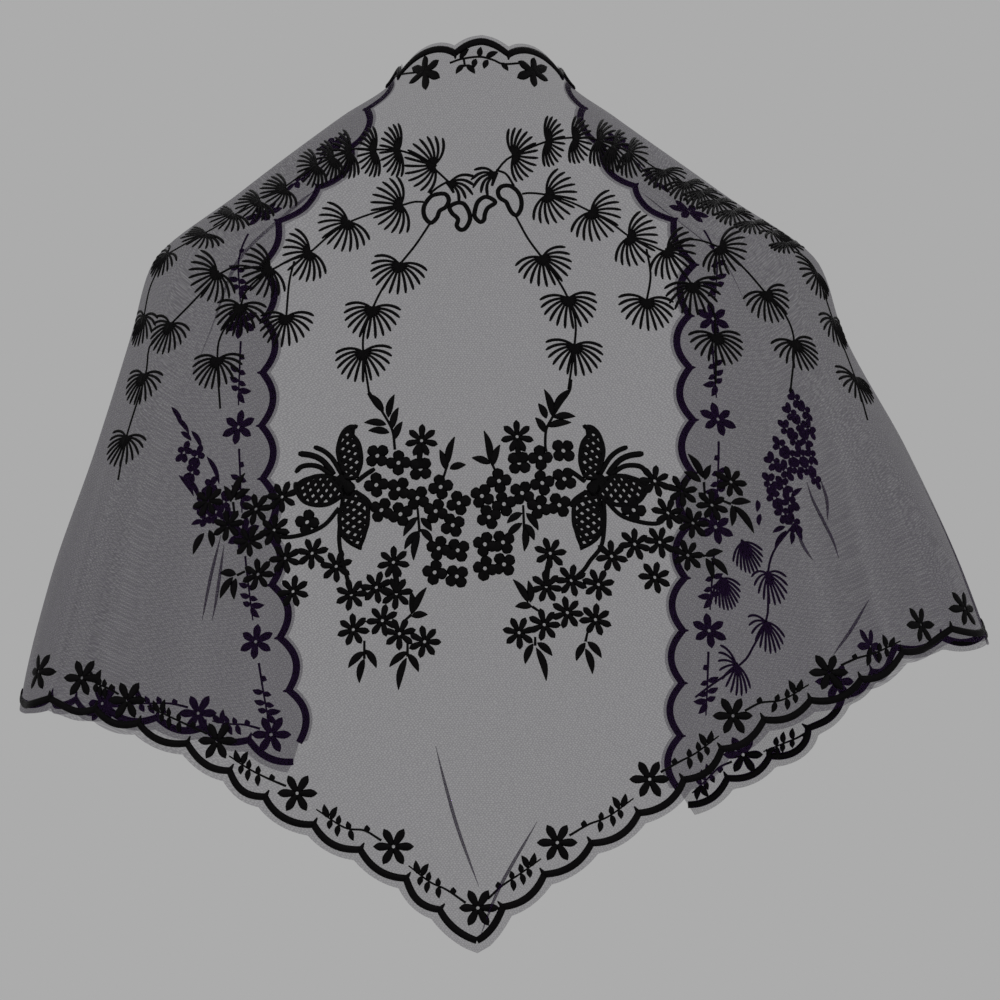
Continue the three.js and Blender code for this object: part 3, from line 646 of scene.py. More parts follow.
@dataclass
class StitchBook:
    """Satin stitch that is gathered stroke by stroke and made into one piece."""

    form: DrapedForm
    height: float = 0.75
    section: Array = field(default_factory=lambda: np.array(
        [(-1, 0), (-0.65, 0.75), (0, 1), (0.65, 0.75), (1, 0), (0, -0.45)]))
    base: float = 0.1
    broad: float = 0.9
    thin_share: float = 0.35
    pages: list[tuple[Array, Array, Array]] = field(default_factory=list)
    count: int = 0

    def strokes(self, spots: Array, halves: Array) -> None:
        """Sweeps a low rounded section along (K, N) spots, as wide as the (K, N) half widths.

        A corner is the spot's point, plus the side direction times the section's share of the half
        width, plus the normal times its share of the height; thin ends are lower than broad ones.
        """
        points = self.form.point(spots)
        normal = self.form.normal(spots)
        along = unit(np.gradient(points, axis=1))
        side = unit(np.cross(normal, along))
        width = self.section[:, 0] * halves[..., None]
        height = self.height * np.clip(halves / self.broad, self.thin_share, 1)
        rise = self.base + self.section[:, 1] * height[..., None]
        corners = points[..., None, :] + side[..., None, :] * width[..., None]
        corners = corners + normal[..., None, :] * rise[..., None]
        reach = np.broadcast_to(run_lengths(points)[..., None], width.shape)
        tones = (np.arange(len(points)) * GOLDEN_SHARE) % 1
        tone = np.broadcast_to(tones[:, None, None], width.shape)
        thread = np.stack([reach, width, tone], axis=-1)
        self.pages.append((corners.reshape(-1, 3), self._faces(*corners.shape[:3]), thread.reshape(-1, 3)))
        self.count += math.prod(corners.shape[:3])

    def _faces(self, strokes: int, stations: int, corners: int) -> Array:
        """The faces round every stroke and over its two ends."""
        base = np.arange(strokes)[:, None, None] * stations * corners + self.count
        k = np.arange(stations - 1)[None, :, None] * corners
        m = np.arange(corners)[None, None, :]
        n = (m + 1) % corners
        skin = np.stack([base + k + m, base + k + corners + m, base + k + corners + n, base + k + n], -1)
        first = base[:, 0, 0][:, None]
        last = first + (stations - 1) * corners
        caps = [first + np.array(order) for order in ((0, 1, 2, 3), (0, 3, 4, 5))]
        caps += [last + np.array(order) for order in ((3, 2, 1, 0), (5, 4, 3, 0))]
        return np.concatenate([skin.reshape(-1, 4), *caps])

    def motif(self, shape: Motif, places: Points | Array, layer: Layer = Layer.BACK) -> None:
        """Stitches a motif, in true millimetres, at each picture place."""
        for place in PHOTO.place(places).reshape(-1, 2):
            self.at_spot(shape, self.form.spots(place, layer), -1 if layer is Layer.FRONT else 1)

    def at_spot(self, shape: Motif, spot: Array, facing: int = 1) -> None:
        """Stitches a motif round one spot; facing is -1 where it is to be seen from inside."""
        scale = np.array([facing, 1]) / self.form.step_sizes(spot)
        self.strokes(spot + shape.lines * scale, shape.halves)

    def as_seen(self, shape: Motif, place: Array, longest: float = 26) -> None:
        """Stitches a motif so that it has its own shape when it is seen from behind.

        A stroke that would run on over the slope stops at the longest true length.
        """
        runs = run_lengths(self.form.point(self.form.spots(place + shape.lines)))
        stops = [np.interp(longest, run, np.linspace(0, 1, len(run))) for run in runs]
        root = shape.lines[:, :1]
        lines = root + (shape.lines - root) * np.array(stops)[:, None, None]
        self.strokes(self.form.spots(place + lines), shape.halves)

    def line(self, points: Points, half: float | tuple[float, float], layer: Layer = Layer.BACK) -> None:
        """Stitches a stem through picture points; half is its half width, or that of both ends."""
        stations = 4 + 5 * (len(points) - 1)
        places = PHOTO.place(smooth_line(points, stations))
        first, last = half if isinstance(half, tuple) else (half, half)
        widths = np.linspace(first, last, stations)
        self.strokes(self.form.spots(places, layer)[None], widths[None])

    def loop(self, points: Points, half: float) -> None:
        """Stitches a closed cord through picture points."""
        stations = 6 * len(points) + 1
        places = PHOTO.place(smooth_loop(points, stations))
        self.strokes(self.form.spots(places)[None], np.full((1, stations), half))

    def leaves(self, ends: Ends, half: float, bend: float = 0.07, layer: Layer = Layer.BACK) -> None:
        """Stitches pointed leaves, each from the picture point of its base to that of its tip."""
        stations = 8
        table = PHOTO.place(np.array(ends, dtype=float).reshape(-1, 2, 2))
        bases, tips = table[:, 0], table[:, 1]
        bends = np.where(tips[:, :1] < bases[:, :1], -bend, bend)
        places = arched_lines(bases, tips, bends[:, None], stations)
        profile = leaf_halves(np.linspace(0, 1, stations), half, fullness=0.75, thinnest=0.12)
        self.strokes(self.form.spots(places, layer), np.tile(profile, (len(table), 1)))

    def flower(self, centre: Place, tips: Points, half: float) -> None:
        """Stitches a flower whose petals run from its centre to the picture points of their tips."""
        stations = 8
        share = np.linspace(0, 1, stations)
        middle = PHOTO.place((centre,))
        places = middle[:, None] + share[:, None] * (PHOTO.place(tips) - middle)[:, None]
        self.strokes(self.form.spots(places), np.tile(petal_halves(share, half), (len(tips), 1)))

    def fan(self, hub: Place, tips: Points, half: float, bend: float) -> None:
        """Stitches arched strokes from one picture point to several, thin at the hub."""
        stations = 10
        places = arched_lines(PHOTO.place((hub,)), PHOTO.place(tips), bend, stations)
        profile = half * np.interp(np.linspace(0, 1, stations), (0, 0.3, 0.85, 1), (0.6, 0.8, 1, 0.45))
        self.strokes(self.form.spots(places), np.tile(profile, (len(tips), 1)))

    def sprig(self, spots: Array, way: int) -> None:
        """Stitches a stem along spots, from its flower to its free end, with its bud and leaves.

        A leaf stands on the stem's own heading, measured in true millimetres on the form, turned by
        the leaf's angle; way is 1 where the bud stands to the left of the heading, and -1 otherwise.
        """
        root_half, end_half, bend = 0.75, 0.45, 0.08
        self.strokes(spots[None], np.linspace(root_half, end_half, len(spots))[None])
        around, upward = self.form.steps(spots)
        ahead = np.gradient(self.form.point(spots), axis=0)
        scale = self.form.step_sizes(spots)
        heading = np.degrees(np.arctan2(np.sum(ahead * upward, axis=-1) / scale[:, 1],
                                        np.sum(ahead * around, axis=-1) / scale[:, 0]))
        for share, side, length, half, angle in SPRIG_LEAVES:
            at = round(share * (len(spots) - 1))
            shape = leaf(length, half, -bend * way * side).turned(heading[at] + way * side * angle)
            self.strokes(spots[at] + shape.lines / scale[at], shape.halves)

    def piece(self, name: str, finish: bpy.types.Material, slot: str,
              nodes: tuple[str, ...] = ()) -> bpy.types.Object:
        """Makes the piece, which rides on the root and stands for the named nodes."""
        points, faces, thread = (np.concatenate(part) for part in zip(*self.pages))
        made = make_piece(name, points, faces, {"thread": thread})
        made.data.materials.append(finish)
        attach(made, "root")
        if nodes:
            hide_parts(*nodes)
        log.info("%s: %d faces", name, len(faces))
        return made


@dataclass
class EdgeCord:
    """The satin-stitched cord along an edge: one stroke a scallop, with a small spike at each notch."""

    edge: ScallopedEdge
    half: float = 2.2
    notch_half: float = 2.0
    fullness: float = 0.6
    spike: float = 4.6
    spike_half: float = 1.9
    spike_root: float = 0.8
    spike_tip_half: float = 0.4
    spike_stations: int = 5
    height: float = 0.9
    stations: int = 15

    def build(self, name: str, node: str, finish: bpy.types.Material) -> bpy.types.Object:
        """Makes the cord, whose half width swells between two notches as a power of a sine, and the
        spikes, which run inwards from the notches and thin out."""
        book = StitchBook(self.edge.form, height=self.height)
        last = np.array(self.edge.back_scallops) + np.array(self.edge.front_scallops)
        notches = np.arange(-last[0], last[1] + 1)
        share = np.linspace(0, 1, self.stations)
        numbers = notches[:-1, None] + share
        bulge = self.edge.bulge(numbers)
        bulge[:, [0, -1]] = 0
        swell = np.sin(np.pi * share) ** self.fullness
        half = self.notch_half + (self.half - self.notch_half) * swell
        book.strokes(self.edge.moved_out(numbers, bulge), np.tile(half, (len(numbers), 1)))
        inside = notches[1:-1]
        inside = np.repeat(inside[inside != 0][:, None], self.spike_stations, axis=1)
        reach = np.linspace(self.spike_root, -self.spike, self.spike_stations)
        spikes = self.edge.moved_out(inside, np.tile(reach, (len(inside), 1)))
        half = np.linspace(self.spike_half, self.spike_tip_half, self.spike_stations)
        book.strokes(spikes, np.tile(half, (len(inside), 1)))
        log.info("%s: %d scallops", name, len(numbers))
        return book.piece(name, finish, "satin_cord", (node,))


@dataclass
class HemBorder:
    """The flowers above the hem and the sprigs between them."""

    form: DrapedForm
    back_flowers: Points = (
        (38, 672), (82, 678), (128, 700), (218, 740), (298, 792), (394, 845), (478, 906),
        (557, 841), (649, 778), (732, 715), (828, 672), (921, 625), (966, 609),
    )
    sprigs: tuple[Points, ...] = (
        ((466, 901), (447, 888), (430, 880), (409, 864)),
        ((382, 839), (365, 829), (345, 826), (317, 808)),
        ((287, 785), (268, 777), (250, 768), (230, 755)),
        ((208, 733), (190, 725), (170, 716), (148, 706)),
        ((119, 694), (108, 688), (98, 684), (90, 679)),
        ((488, 897), (502, 884), (520, 872), (541, 857)),
        ((569, 834), (588, 823), (608, 815), (633, 797)),
        ((660, 771), (678, 761), (695, 752), (718, 735)),
        ((744, 710), (760, 702), (782, 699), (808, 684)),
        ((840, 665), (856, 658), (876, 652), (900, 641)),
    )
    front_flowers: Points = ((880, 648), (830, 684), (749, 758), (272, 738), (196, 716), (120, 706))
    front_sprigs: tuple[Points, ...] = (
        ((739, 765), (727, 771), (715, 783), (699, 797)),
        ((812, 728), (798, 740), (782, 748), (767, 755)),
        ((262, 732), (247, 728), (230, 727), (211, 724)),
        ((186, 710), (170, 706), (155, 706), (138, 706)),
    )
    flower: Motif = petals(6, 11.8, 2.5, first=0)

    def build(self, finish: bpy.types.Material) -> list[bpy.types.Object]:
        """Makes the border of the back and the border of the two front ends."""
        nodes = tuple(f"hem_flower_{k + 1}" for k in range(12))
        back = self._border(self.back_flowers, self.sprigs, Layer.BACK)
        front = self._border(self.front_flowers, self.front_sprigs, Layer.FRONT)
        return [back.piece("hem_flowers_back", finish, "embroidery", nodes),
                front.piece("hem_flowers_front", finish, "embroidery")]

    def _border(self, flowers: Points, sprigs: tuple[Points, ...], layer: Layer) -> StitchBook:
        """Stitches one layer's flowers and sprigs; the sprigs' buds change sides from left to right,
        and from the back to the front."""
        book = StitchBook(self.form)
        book.motif(self.flower, flowers, layer)
        for points in sprigs:
            to_right = points[0][0] > PHOTO.origin_column
            places = PHOTO.place(smooth_line(points, SPRIG_STATIONS))
            book.sprig(self.form.spots(places, layer), 1 if to_right == (layer is Layer.BACK) else -1)
        return book


@dataclass
class NapeBorder:
    """The two flowers beside the nape, the sprig between them, and the border down the long edge."""

    form: DrapedForm
    neck: ScallopedEdge
    flowers: tuple[tuple[Place, Points], ...] = (
        ((425, 71), ((425, 55), (439, 60), (440, 78), (426, 90), (409, 83), (412, 67))),
        ((533, 71), ((534, 57), (547, 66), (548, 80), (534, 87), (517, 78), (518, 61))),
    )
    petal_half: float = 2.8
    edge_flower: Motif = petals(6, 10.5, 2.4, first=90)
    stems: tuple[Points, ...] = (
        ((450, 63), (462, 59), (480, 57), (493, 60), (503, 64), (520, 63)),
        ((464, 60), (465, 67)),
        ((415, 72), (402, 73), (395, 75)),
    )
    leaves: Ends = (
        (460, 59, 469, 49), (480, 57, 481, 47), (486, 58, 498, 52), (476, 59, 474, 68), (488, 60, 484, 69),
        (501, 63, 508, 71), (464, 65, 456, 74), (466, 65, 475, 74),
    )
    stem_half: float = 0.7
    leaf_half: float = 1.8
    inward: float = 15
    edge_places: tuple[float, ...] = (4.5, 6.5, 8.5, 10.5, 12.5, 14.5)
    sprig_start: float = 0.4
    sprig_end: float = 1.6

    def build(self, finish: bpy.types.Material) -> list[bpy.types.Object]:
        """Makes the nape's border and, by scallop numbers, the border of the two front edges."""
        nape = StitchBook(self.form)
        for centre, tips in self.flowers:
            nape.flower(centre, tips, self.petal_half)
        for points in self.stems:
            nape.line(points, self.stem_half)
        nape.leaves(self.leaves, self.leaf_half)
        front = StitchBook(self.form)
        for side in (-1, 1):
            for step in self.edge_places:
                spot = self.neck.moved_out(np.array([side * step]), np.array([-self.inward]))[0]
                front.at_spot(self.edge_flower, spot, -1)
                stem = side * np.linspace(step + self.sprig_start, step + self.sprig_end, SPRIG_STATIONS)
                front.sprig(self.neck.moved_out(stem, np.full(SPRIG_STATIONS, -self.inward)), side)
        return [nape.piece("nape_flowers", finish, "embroidery", ("neck_flower_1", "neck_flower_2")),
                front.piece("long_edge_flowers", finish, "embroidery")]


@dataclass
class Garlands:
    """The stems with palm-like fans on one side of the back."""

    form: DrapedForm
    side: str
    fans: tuple[tuple[float, float, float], ...]
    shoulder_fans: tuple[tuple[float, float, float, float, float], ...]
    stems: tuple[Points, ...]
    stem_half: float = 0.7

    def build(self, finish: bpy.types.Material) -> bpy.types.Object:
        """Makes the fans, each turned to its own axis, and the stems that join them.

        The net is drawn out over the shoulder's slope, and the fans there with it: they keep the look
        from behind that they have in the photograph, with their own shares of width and height.
        """
        book = StitchBook(self.form)
        for column, row, axis in self.fans:
            for shape in fan_shapes(axis):
                book.motif(shape, ((column, row),))
        for column, row, axis, width, height in self.shoulder_fans:
            for shape in fan_shapes(axis):
                book.as_seen(shape.scaled(width, height), PHOTO.place((column, row)))
        for points in self.stems:
            book.line(points, self.stem_half)
        single = {"left": ("inner", "middle", "outer"), "right": ("inner", "outer")}[self.side]
        nodes = [f"{kind}_garland_{self.side}" for kind in ("upper", "lower", "hanging")]
        nodes += [f"frond_{self.side}_{kind}" for kind in single]
        return book.piece(f"fronds_{self.side}", finish, "embroidery", tuple(nodes))


def left_garlands(form: DrapedForm) -> Garlands:
    """The garlands to the left of the nape."""
    fans = (
        (166, 254, 250), (170, 325, 255), (241, 307, 265), (287, 318, 270), (218, 360, 272),
        (400, 266, 255), (373, 310, 265), (364, 353, 275), (143, 317, 265), (143, 376, 268),
        (126, 438, 262),
    )
    shoulder_fans = (
        # column, row, axis in degrees, share of the width, share of the height
        (434, 166, 165, 1, 1),
        (399, 151, 185, 0.65, 0.95),
        (375, 152, 190, 0.6, 0.9),
        (350, 153, 205, 0.65, 0.9),
        (333, 158, 215, 0.6, 0.75),
        (316, 166, 212, 0.65, 0.75),
        (285, 190, 205, 0.85, 0.65),
        (259, 202, 215, 0.85, 0.65),
        (232, 214, 222, 0.85, 0.6),
        (205, 234, 225, 0.9, 0.5),
        (401, 206, 190, 1, 1),
        (348, 223, 228, 1, 1),
        (310, 253, 217, 0.9, 1),
        (270, 269, 212, 0.95, 1),
        (217, 273, 220, 0.95, 1),
    )
    stems = (
        ((435, 170), (418, 158), (399, 151), (375, 150), (350, 150), (316, 165), (283, 188),
         (256, 200), (224, 222), (195, 238), (166, 254)),
        ((435, 170), (450, 184)),
        ((424, 203), (414, 203), (400, 207), (374, 214), (348, 224), (328, 238), (309, 254),
         (288, 262), (268, 271), (240, 266), (218, 275)),
        ((295, 262), (290, 283), (287, 318)),
        ((268, 271), (248, 290), (241, 307)),
        ((241, 307), (222, 335), (218, 360), (221, 409)),
        ((218, 275), (195, 300), (170, 325), (150, 345), (145, 376), (126, 438), (118, 480)),
        ((166, 254), (150, 285), (143, 317)),
        ((430, 225), (416, 246), (400, 266), (384, 288), (373, 310), (365, 332), (364, 353), (370, 395)),
    )
    return Garlands(form, "left", fans, shoulder_fans, stems)


def right_garlands(form: DrapedForm) -> Garlands:
    """The garlands to the right of the nape."""
    fans = (
        (774, 232, 280), (817, 272, 220), (766, 294, 284),
        (794, 343, 275), (646, 302, 265), (715, 337, 270), (542, 259, 290), (568, 300, 275),
        (574, 347, 265), (834, 320, 262), (856, 378, 245),
    )
    shoulder_fans = (
        # column, row, axis in degrees, share of the width, share of the height
        (514, 156, 10, 0.8, 0.95),
        (547, 142, 355, 0.6, 0.9),
        (574, 140, 350, 0.6, 0.85),
        (598, 141, 338, 0.65, 0.9),
        (613, 147, 318, 0.5, 0.9),
        (629, 152, 325, 0.65, 0.9),
        (664, 171, 275, 0.8, 0.65),
        (687, 183, 285, 0.8, 0.65),
        (702, 192, 288, 0.75, 0.6),
        (717, 201, 290, 0.75, 0.5),
        (734, 211, 292, 0.75, 0.5),
        (754, 222, 290, 0.75, 0.4),
        (788, 243, 290, 0.7, 0.35),
        (547, 196, 335, 1, 1),
        (591, 213, 318, 1, 1),
        (629, 238, 333, 0.95, 1),
        (667, 251, 322, 0.95, 1),
        (720, 248, 320, 0.9, 0.95),
        (692, 286, 280, 1, 1),
    )
    stems = (
        ((494, 176), (503, 164), (514, 156), (547, 142), (574, 138), (597, 140), (628, 151), (660, 171),
         (684, 183), (720, 200), (774, 231), (800, 252), (817, 272), (834, 320), (856, 378), (868, 420)),
        ((522, 195), (530, 194), (547, 196), (570, 203), (591, 213), (612, 225), (630, 238),
         (650, 246), (668, 252), (690, 240), (721, 249), (745, 270), (766, 294), (785, 315),
         (794, 343), (790, 392)),
        ((646, 250), (650, 276), (646, 302)),
        ((668, 252), (692, 286), (712, 310), (715, 337), (715, 384)),
        ((516, 218), (528, 240), (542, 259), (557, 280), (568, 300), (575, 322), (574, 347), (568, 390)),
    )
    return Garlands(form, "right", fans, shoulder_fans, stems)


@dataclass
class BeanLoops:
    """The four kidney-shaped loops of cord under the nape, with the fans and stems that touch them."""

    form: DrapedForm
    loops: tuple[Points, ...] = (
        ((434, 196), (445, 195), (449, 201), (446, 208), (440, 212), (437, 219), (431, 224), (425, 218),
         (424, 209), (428, 201)),
        ((450, 208), (457, 204), (464, 205), (469, 213), (470, 221), (466, 229), (461, 231), (457, 227),
         (458, 220), (452, 214)),
        ((475, 212), (478, 203), (485, 198), (492, 200), (495, 204), (488, 209), (485, 215), (484, 221),
         (480, 223), (475, 218)),
        ((499, 190), (503, 187), (510, 187), (517, 192), (521, 200), (521, 209), (517, 216), (512, 214),
         (508, 207), (506, 203), (500, 199), (498, 194)),
    )
    stems: tuple[Points, ...] = (
        ((430, 195), (437, 189), (447, 183)),
        ((496, 171), (506, 175), (514, 187)),
    )
    hearts: tuple[Points, ...] = (
        ((448, 183), (451, 188), (454, 194)), ((496, 173), (494, 180), (492, 187)),
    )
    left_hub: Place = (449, 184)
    left_tips: Points = ((476, 178), (475, 187), (473, 196), (466, 200), (459, 204))
    right_hub: Place = (495, 175)
    right_tips: Points = ((474, 171), (471, 181), (473, 189), (481, 194), (488, 198))
    half: float = 1.35
    stem_half: float = 0.75
    heart_halves: tuple[float, float] = (1.6, 0.8)
    fan_half: float = 1.05
    fan_bend: float = 0.18

    def build(self, finish: bpy.types.Material) -> bpy.types.Object:
        """Makes the loops, their stems and the two fans that open towards each other."""
        book = StitchBook(self.form)
        for points in self.loops:
            book.loop(points, self.half)
        for points in self.stems:
            book.line(points, self.stem_half)
        for points in self.hearts:
            book.line(points, self.heart_halves)
        book.fan(self.left_hub, self.left_tips, self.fan_half, self.fan_bend)
        book.fan(self.right_hub, self.right_tips, self.fan_half, -self.fan_bend)
        ends = ("left_inner", "left_outer", "right_inner", "right_outer")
        nodes = tuple(f"bean_loop_{end}" for end in ends)
        return book.piece("bean_loops", finish, "embroidery", nodes)


@dataclass
class FlowerSpray:
    """The flowers and leaves round the butterfly on one side of the back."""

    form: DrapedForm
    side: str
    daisies: Points
    blossoms: Points
    leaves: Ends
    broad_leaves: Ends
    stems: tuple[Points, ...]
    links: tuple[Points, ...]
    daisy: Motif = petals(7, 9.7, 2.0, widest=0.68, fullness=0.6, root=0.42)
    daisy_eye: Motif = ring(1.6, 0.75)
    blossom: Motif = petals(4, 7.5, 3.4, start=1.2, widest=0.55, first=45, fullness=0.5, root=0.7)
    blossom_eye: Motif = ring(2.1, 1.0)
    daisy_turn: float = 51
    blossom_turn: float = 90
    leaf_half: float = 2.2
    broad_leaf_half: float = 2.4
    stem_halves: tuple[float, float] = (0.7, 0.85)
    link_half: float = 1.7

    def build(self, finish: bpy.types.Material) -> list[bpy.types.Object]:
        """Makes the daisies with their leaves, and the bank of four-lobed blossoms; each flower is
        turned by its own part of the golden angle, so that no two neighbours are alike."""
        flowers = StitchBook(self.form)
        for k, place in enumerate(self.daisies):
            flowers.motif(self.daisy.turned(GOLDEN_ANGLE * k % self.daisy_turn), (place,))
            flowers.motif(self.daisy_eye, (place,))
        flowers.leaves(self.leaves, self.leaf_half)
        flowers.leaves(self.broad_leaves, self.broad_leaf_half)
        for points in self.stems:
            flowers.line(points, self.stem_halves)
        bank = StitchBook(self.form)
        for k, place in enumerate(self.blossoms):
            bank.motif(self.blossom.turned(GOLDEN_ANGLE * k % self.blossom_turn), (place,))
            bank.motif(self.blossom_eye, (place,))
        for points in self.links:
            bank.line(points, self.link_half)
        sprays = (f"outer_spray_{self.side}", f"lower_spray_{self.side}")
        return [flowers.piece(f"daisies_{self.side}", finish, "embroidery", sprays),
                bank.piece(f"blossoms_{self.side}", finish, "embroidery", (f"blossom_bank_{self.side}",))]


def left_spray(form: DrapedForm) -> FlowerSpray:
    """The spray round the left butterfly."""
    daisies = (
        (422, 441), (283, 497), (257, 509), (275, 530), (250, 541), (229, 525), (209, 501), (286, 558),
        (313, 553), (259, 574), (294, 591), (337, 566), (352, 594), (394, 562), (377, 587), (397, 593),
        (354, 629), (383, 620), (400, 633), (425, 641),
    )
    blossoms = (
        (378, 456), (399, 463), (421, 469), (377, 485), (399, 489), (441, 487), (418, 498), (459, 503),
        (382, 510), (401, 514), (436, 511), (453, 525), (439, 548), (458, 550), (435, 572), (457, 576),
        (308, 522),
    )
    leaves = (
        (389, 418, 395, 395), (387, 425, 365, 423), (390, 433, 369, 431), (393, 429, 399, 408),
        (395, 440, 403, 422), (448, 465, 455, 437), (445, 469, 440, 450), (450, 469, 466, 465),
        (418, 517, 404, 536), (419, 531, 405, 549), (421, 518, 432, 531), (421, 529, 433, 543),
        (420, 532, 414, 560), (412, 614, 411, 590), (414, 612, 427, 587), (412, 616, 428, 614),
        (365, 651, 349, 667), (366, 649, 377, 667), (365, 658, 360, 682), (408, 651, 390, 666),
        (408, 653, 419, 671), (407, 657, 399, 689), (233, 500, 246, 473), (236, 500, 251, 489),
        (232, 502, 225, 486), (205, 533, 194, 554), (210, 530, 213, 547), (234, 577, 221, 598),
        (237, 578, 235, 599),
    )
    broad_leaves = ((384, 413, 368, 394), (237, 574, 221, 573))
    stems = (
        ((369, 391), (384, 414), (393, 431), (395.5, 450)), ((444, 477), (448, 464)),
        ((418, 508), (420, 532)), ((404, 621), (412, 614)), ((365, 640), (365, 658)),
        ((408, 640), (408, 656)), ((236, 518), (234, 502)), ((246, 571), (238, 575)),
    )
    links = (((422, 445), (420, 458), (421, 469)), ((394, 566), (397, 580), (397, 593)))
    return FlowerSpray(form, "left", daisies, blossoms, leaves, broad_leaves, stems, links)


def right_spray(form: DrapedForm) -> FlowerSpray:
    """The spray round the right butterfly."""
    daisies = (
        (517, 437), (654, 481), (681, 491), (730, 482), (711, 505), (667, 513), (692, 523), (634, 544),
        (659, 542), (687, 555), (611, 556), (654, 577), (550, 553), (546, 586), (571, 580), (598, 584),
        (567, 612), (595, 619), (519, 632), (544, 624),
    )
    blossoms = (
        (563, 451), (540, 458), (519, 463), (499, 481), (564, 479), (542, 483), (522, 493), (504, 504),
        (482, 496), (489, 517), (539, 507), (559, 505), (485, 544), (503, 542), (485, 568), (504, 564),
        (633, 510),
    )
    leaves = (
        (552, 417, 544, 390), (546, 419, 538, 404), (545, 433, 535, 418), (553, 418, 575, 417),
        (547, 427, 571, 423), (490, 463, 484, 431), (493, 466, 500, 445), (490, 464, 472, 458),
        (522, 513, 507, 523), (522, 523, 507, 537), (526, 513, 538, 530), (525, 524, 534, 540),
        (524, 527, 524, 551), (702, 478, 687, 454), (700, 482, 683, 472), (704, 480, 710, 465),
        (730, 503, 750, 502), (731, 505, 731, 526), (733, 506, 753, 533), (704, 556, 722, 551),
        (705, 558, 712, 579), (710, 558, 727, 575), (528, 602, 513, 579), (530, 602, 528, 580),
        (532, 606, 515, 606), (533, 643, 525, 663), (537, 642, 552, 655), (536, 647, 546, 680),
        (585, 642, 576, 660), (587, 641, 601, 657), (585, 648, 592, 673),
    )
    broad_leaves = ((554, 412, 569, 390),)
    stems = (
        ((571, 380), (569, 392), (560, 405), (552, 418), (546, 430), (545, 445), (546, 452)),
        ((495, 470), (490, 460)), ((523, 505), (524, 530)), ((704, 497), (703, 482)),
        ((720, 500), (730, 504)), ((698, 553), (704, 556)), ((541, 612), (532, 606)),
        ((535, 636), (535, 645)), ((587, 632), (585, 641)),
    )
    links = (((517, 441), (518, 452), (519, 463)), ((550, 557), (547, 570), (546, 586)))
    return FlowerSpray(form, "right", daisies, blossoms, leaves, broad_leaves, stems, links)


@dataclass(frozen=True)
class Wing:
    """A butterfly's wing, from its root to its tip: places right and up of the centre, half widths."""

    rows: tuple[tuple[float, float, float], ...]
    border: float = 1.3
    thread: float = 1.3
    pitch: float = 4.9
    slant: float = 0.75
    spine_stations: int = 40
    lattice_stations: int = 11
    thinnest: float = 0.2
    least_inset: float = 0.05
    tip_share: float = 0.9

    def build(self) -> tuple[Motif, Motif]:
        """The border and the lattice that leaves rows of small openings.

        A lattice stroke crosses the wing at a slant to its spine, and is held inside the outline, so
        that its two ends run into the border.
        """
        table = smooth_line(self.rows, self.spine_stations)
        spine, half = table[:, :2], np.maximum(table[:, 2], self.thinnest)
        side = unit(np.gradient(spine, axis=0))[:, ::-1] * np.array([-1, 1])
        inset = np.maximum(half - self.border, self.least_inset)
        edges = np.stack([spine + side * inset[:, None] * way for way in (-1, 1)])
        border = Motif(edges, np.tile(np.minimum(self.border, half * self.tip_share), (2, 1)))
        reach = run_lengths(spine)
        widest = half.max()
        across = np.linspace(-widest, widest, self.lattice_stations)
        starts = np.arange(-widest * self.slant, reach[-1] + widest * self.slant, self.pitch)
        lines = []
        for way in (-1, 1):
            along = np.clip(starts[:, None] + way * self.slant * across, 0, reach[-1])
            limit = np.interp(along, reach, inset)
            offset = np.clip(np.broadcast_to(across, along.shape), -limit, limit)
            centre = np.stack([np.interp(along, reach, spine[:, axis]) for axis in (0, 1)], axis=-1)
            sideways = np.stack([np.interp(along, reach, side[:, axis]) for axis in (0, 1)], axis=-1)
            lines.append(centre + sideways * offset[..., None])
        lattice = np.concatenate(lines)
        return border, Motif(lattice, np.full(lattice.shape[:2], self.thread))


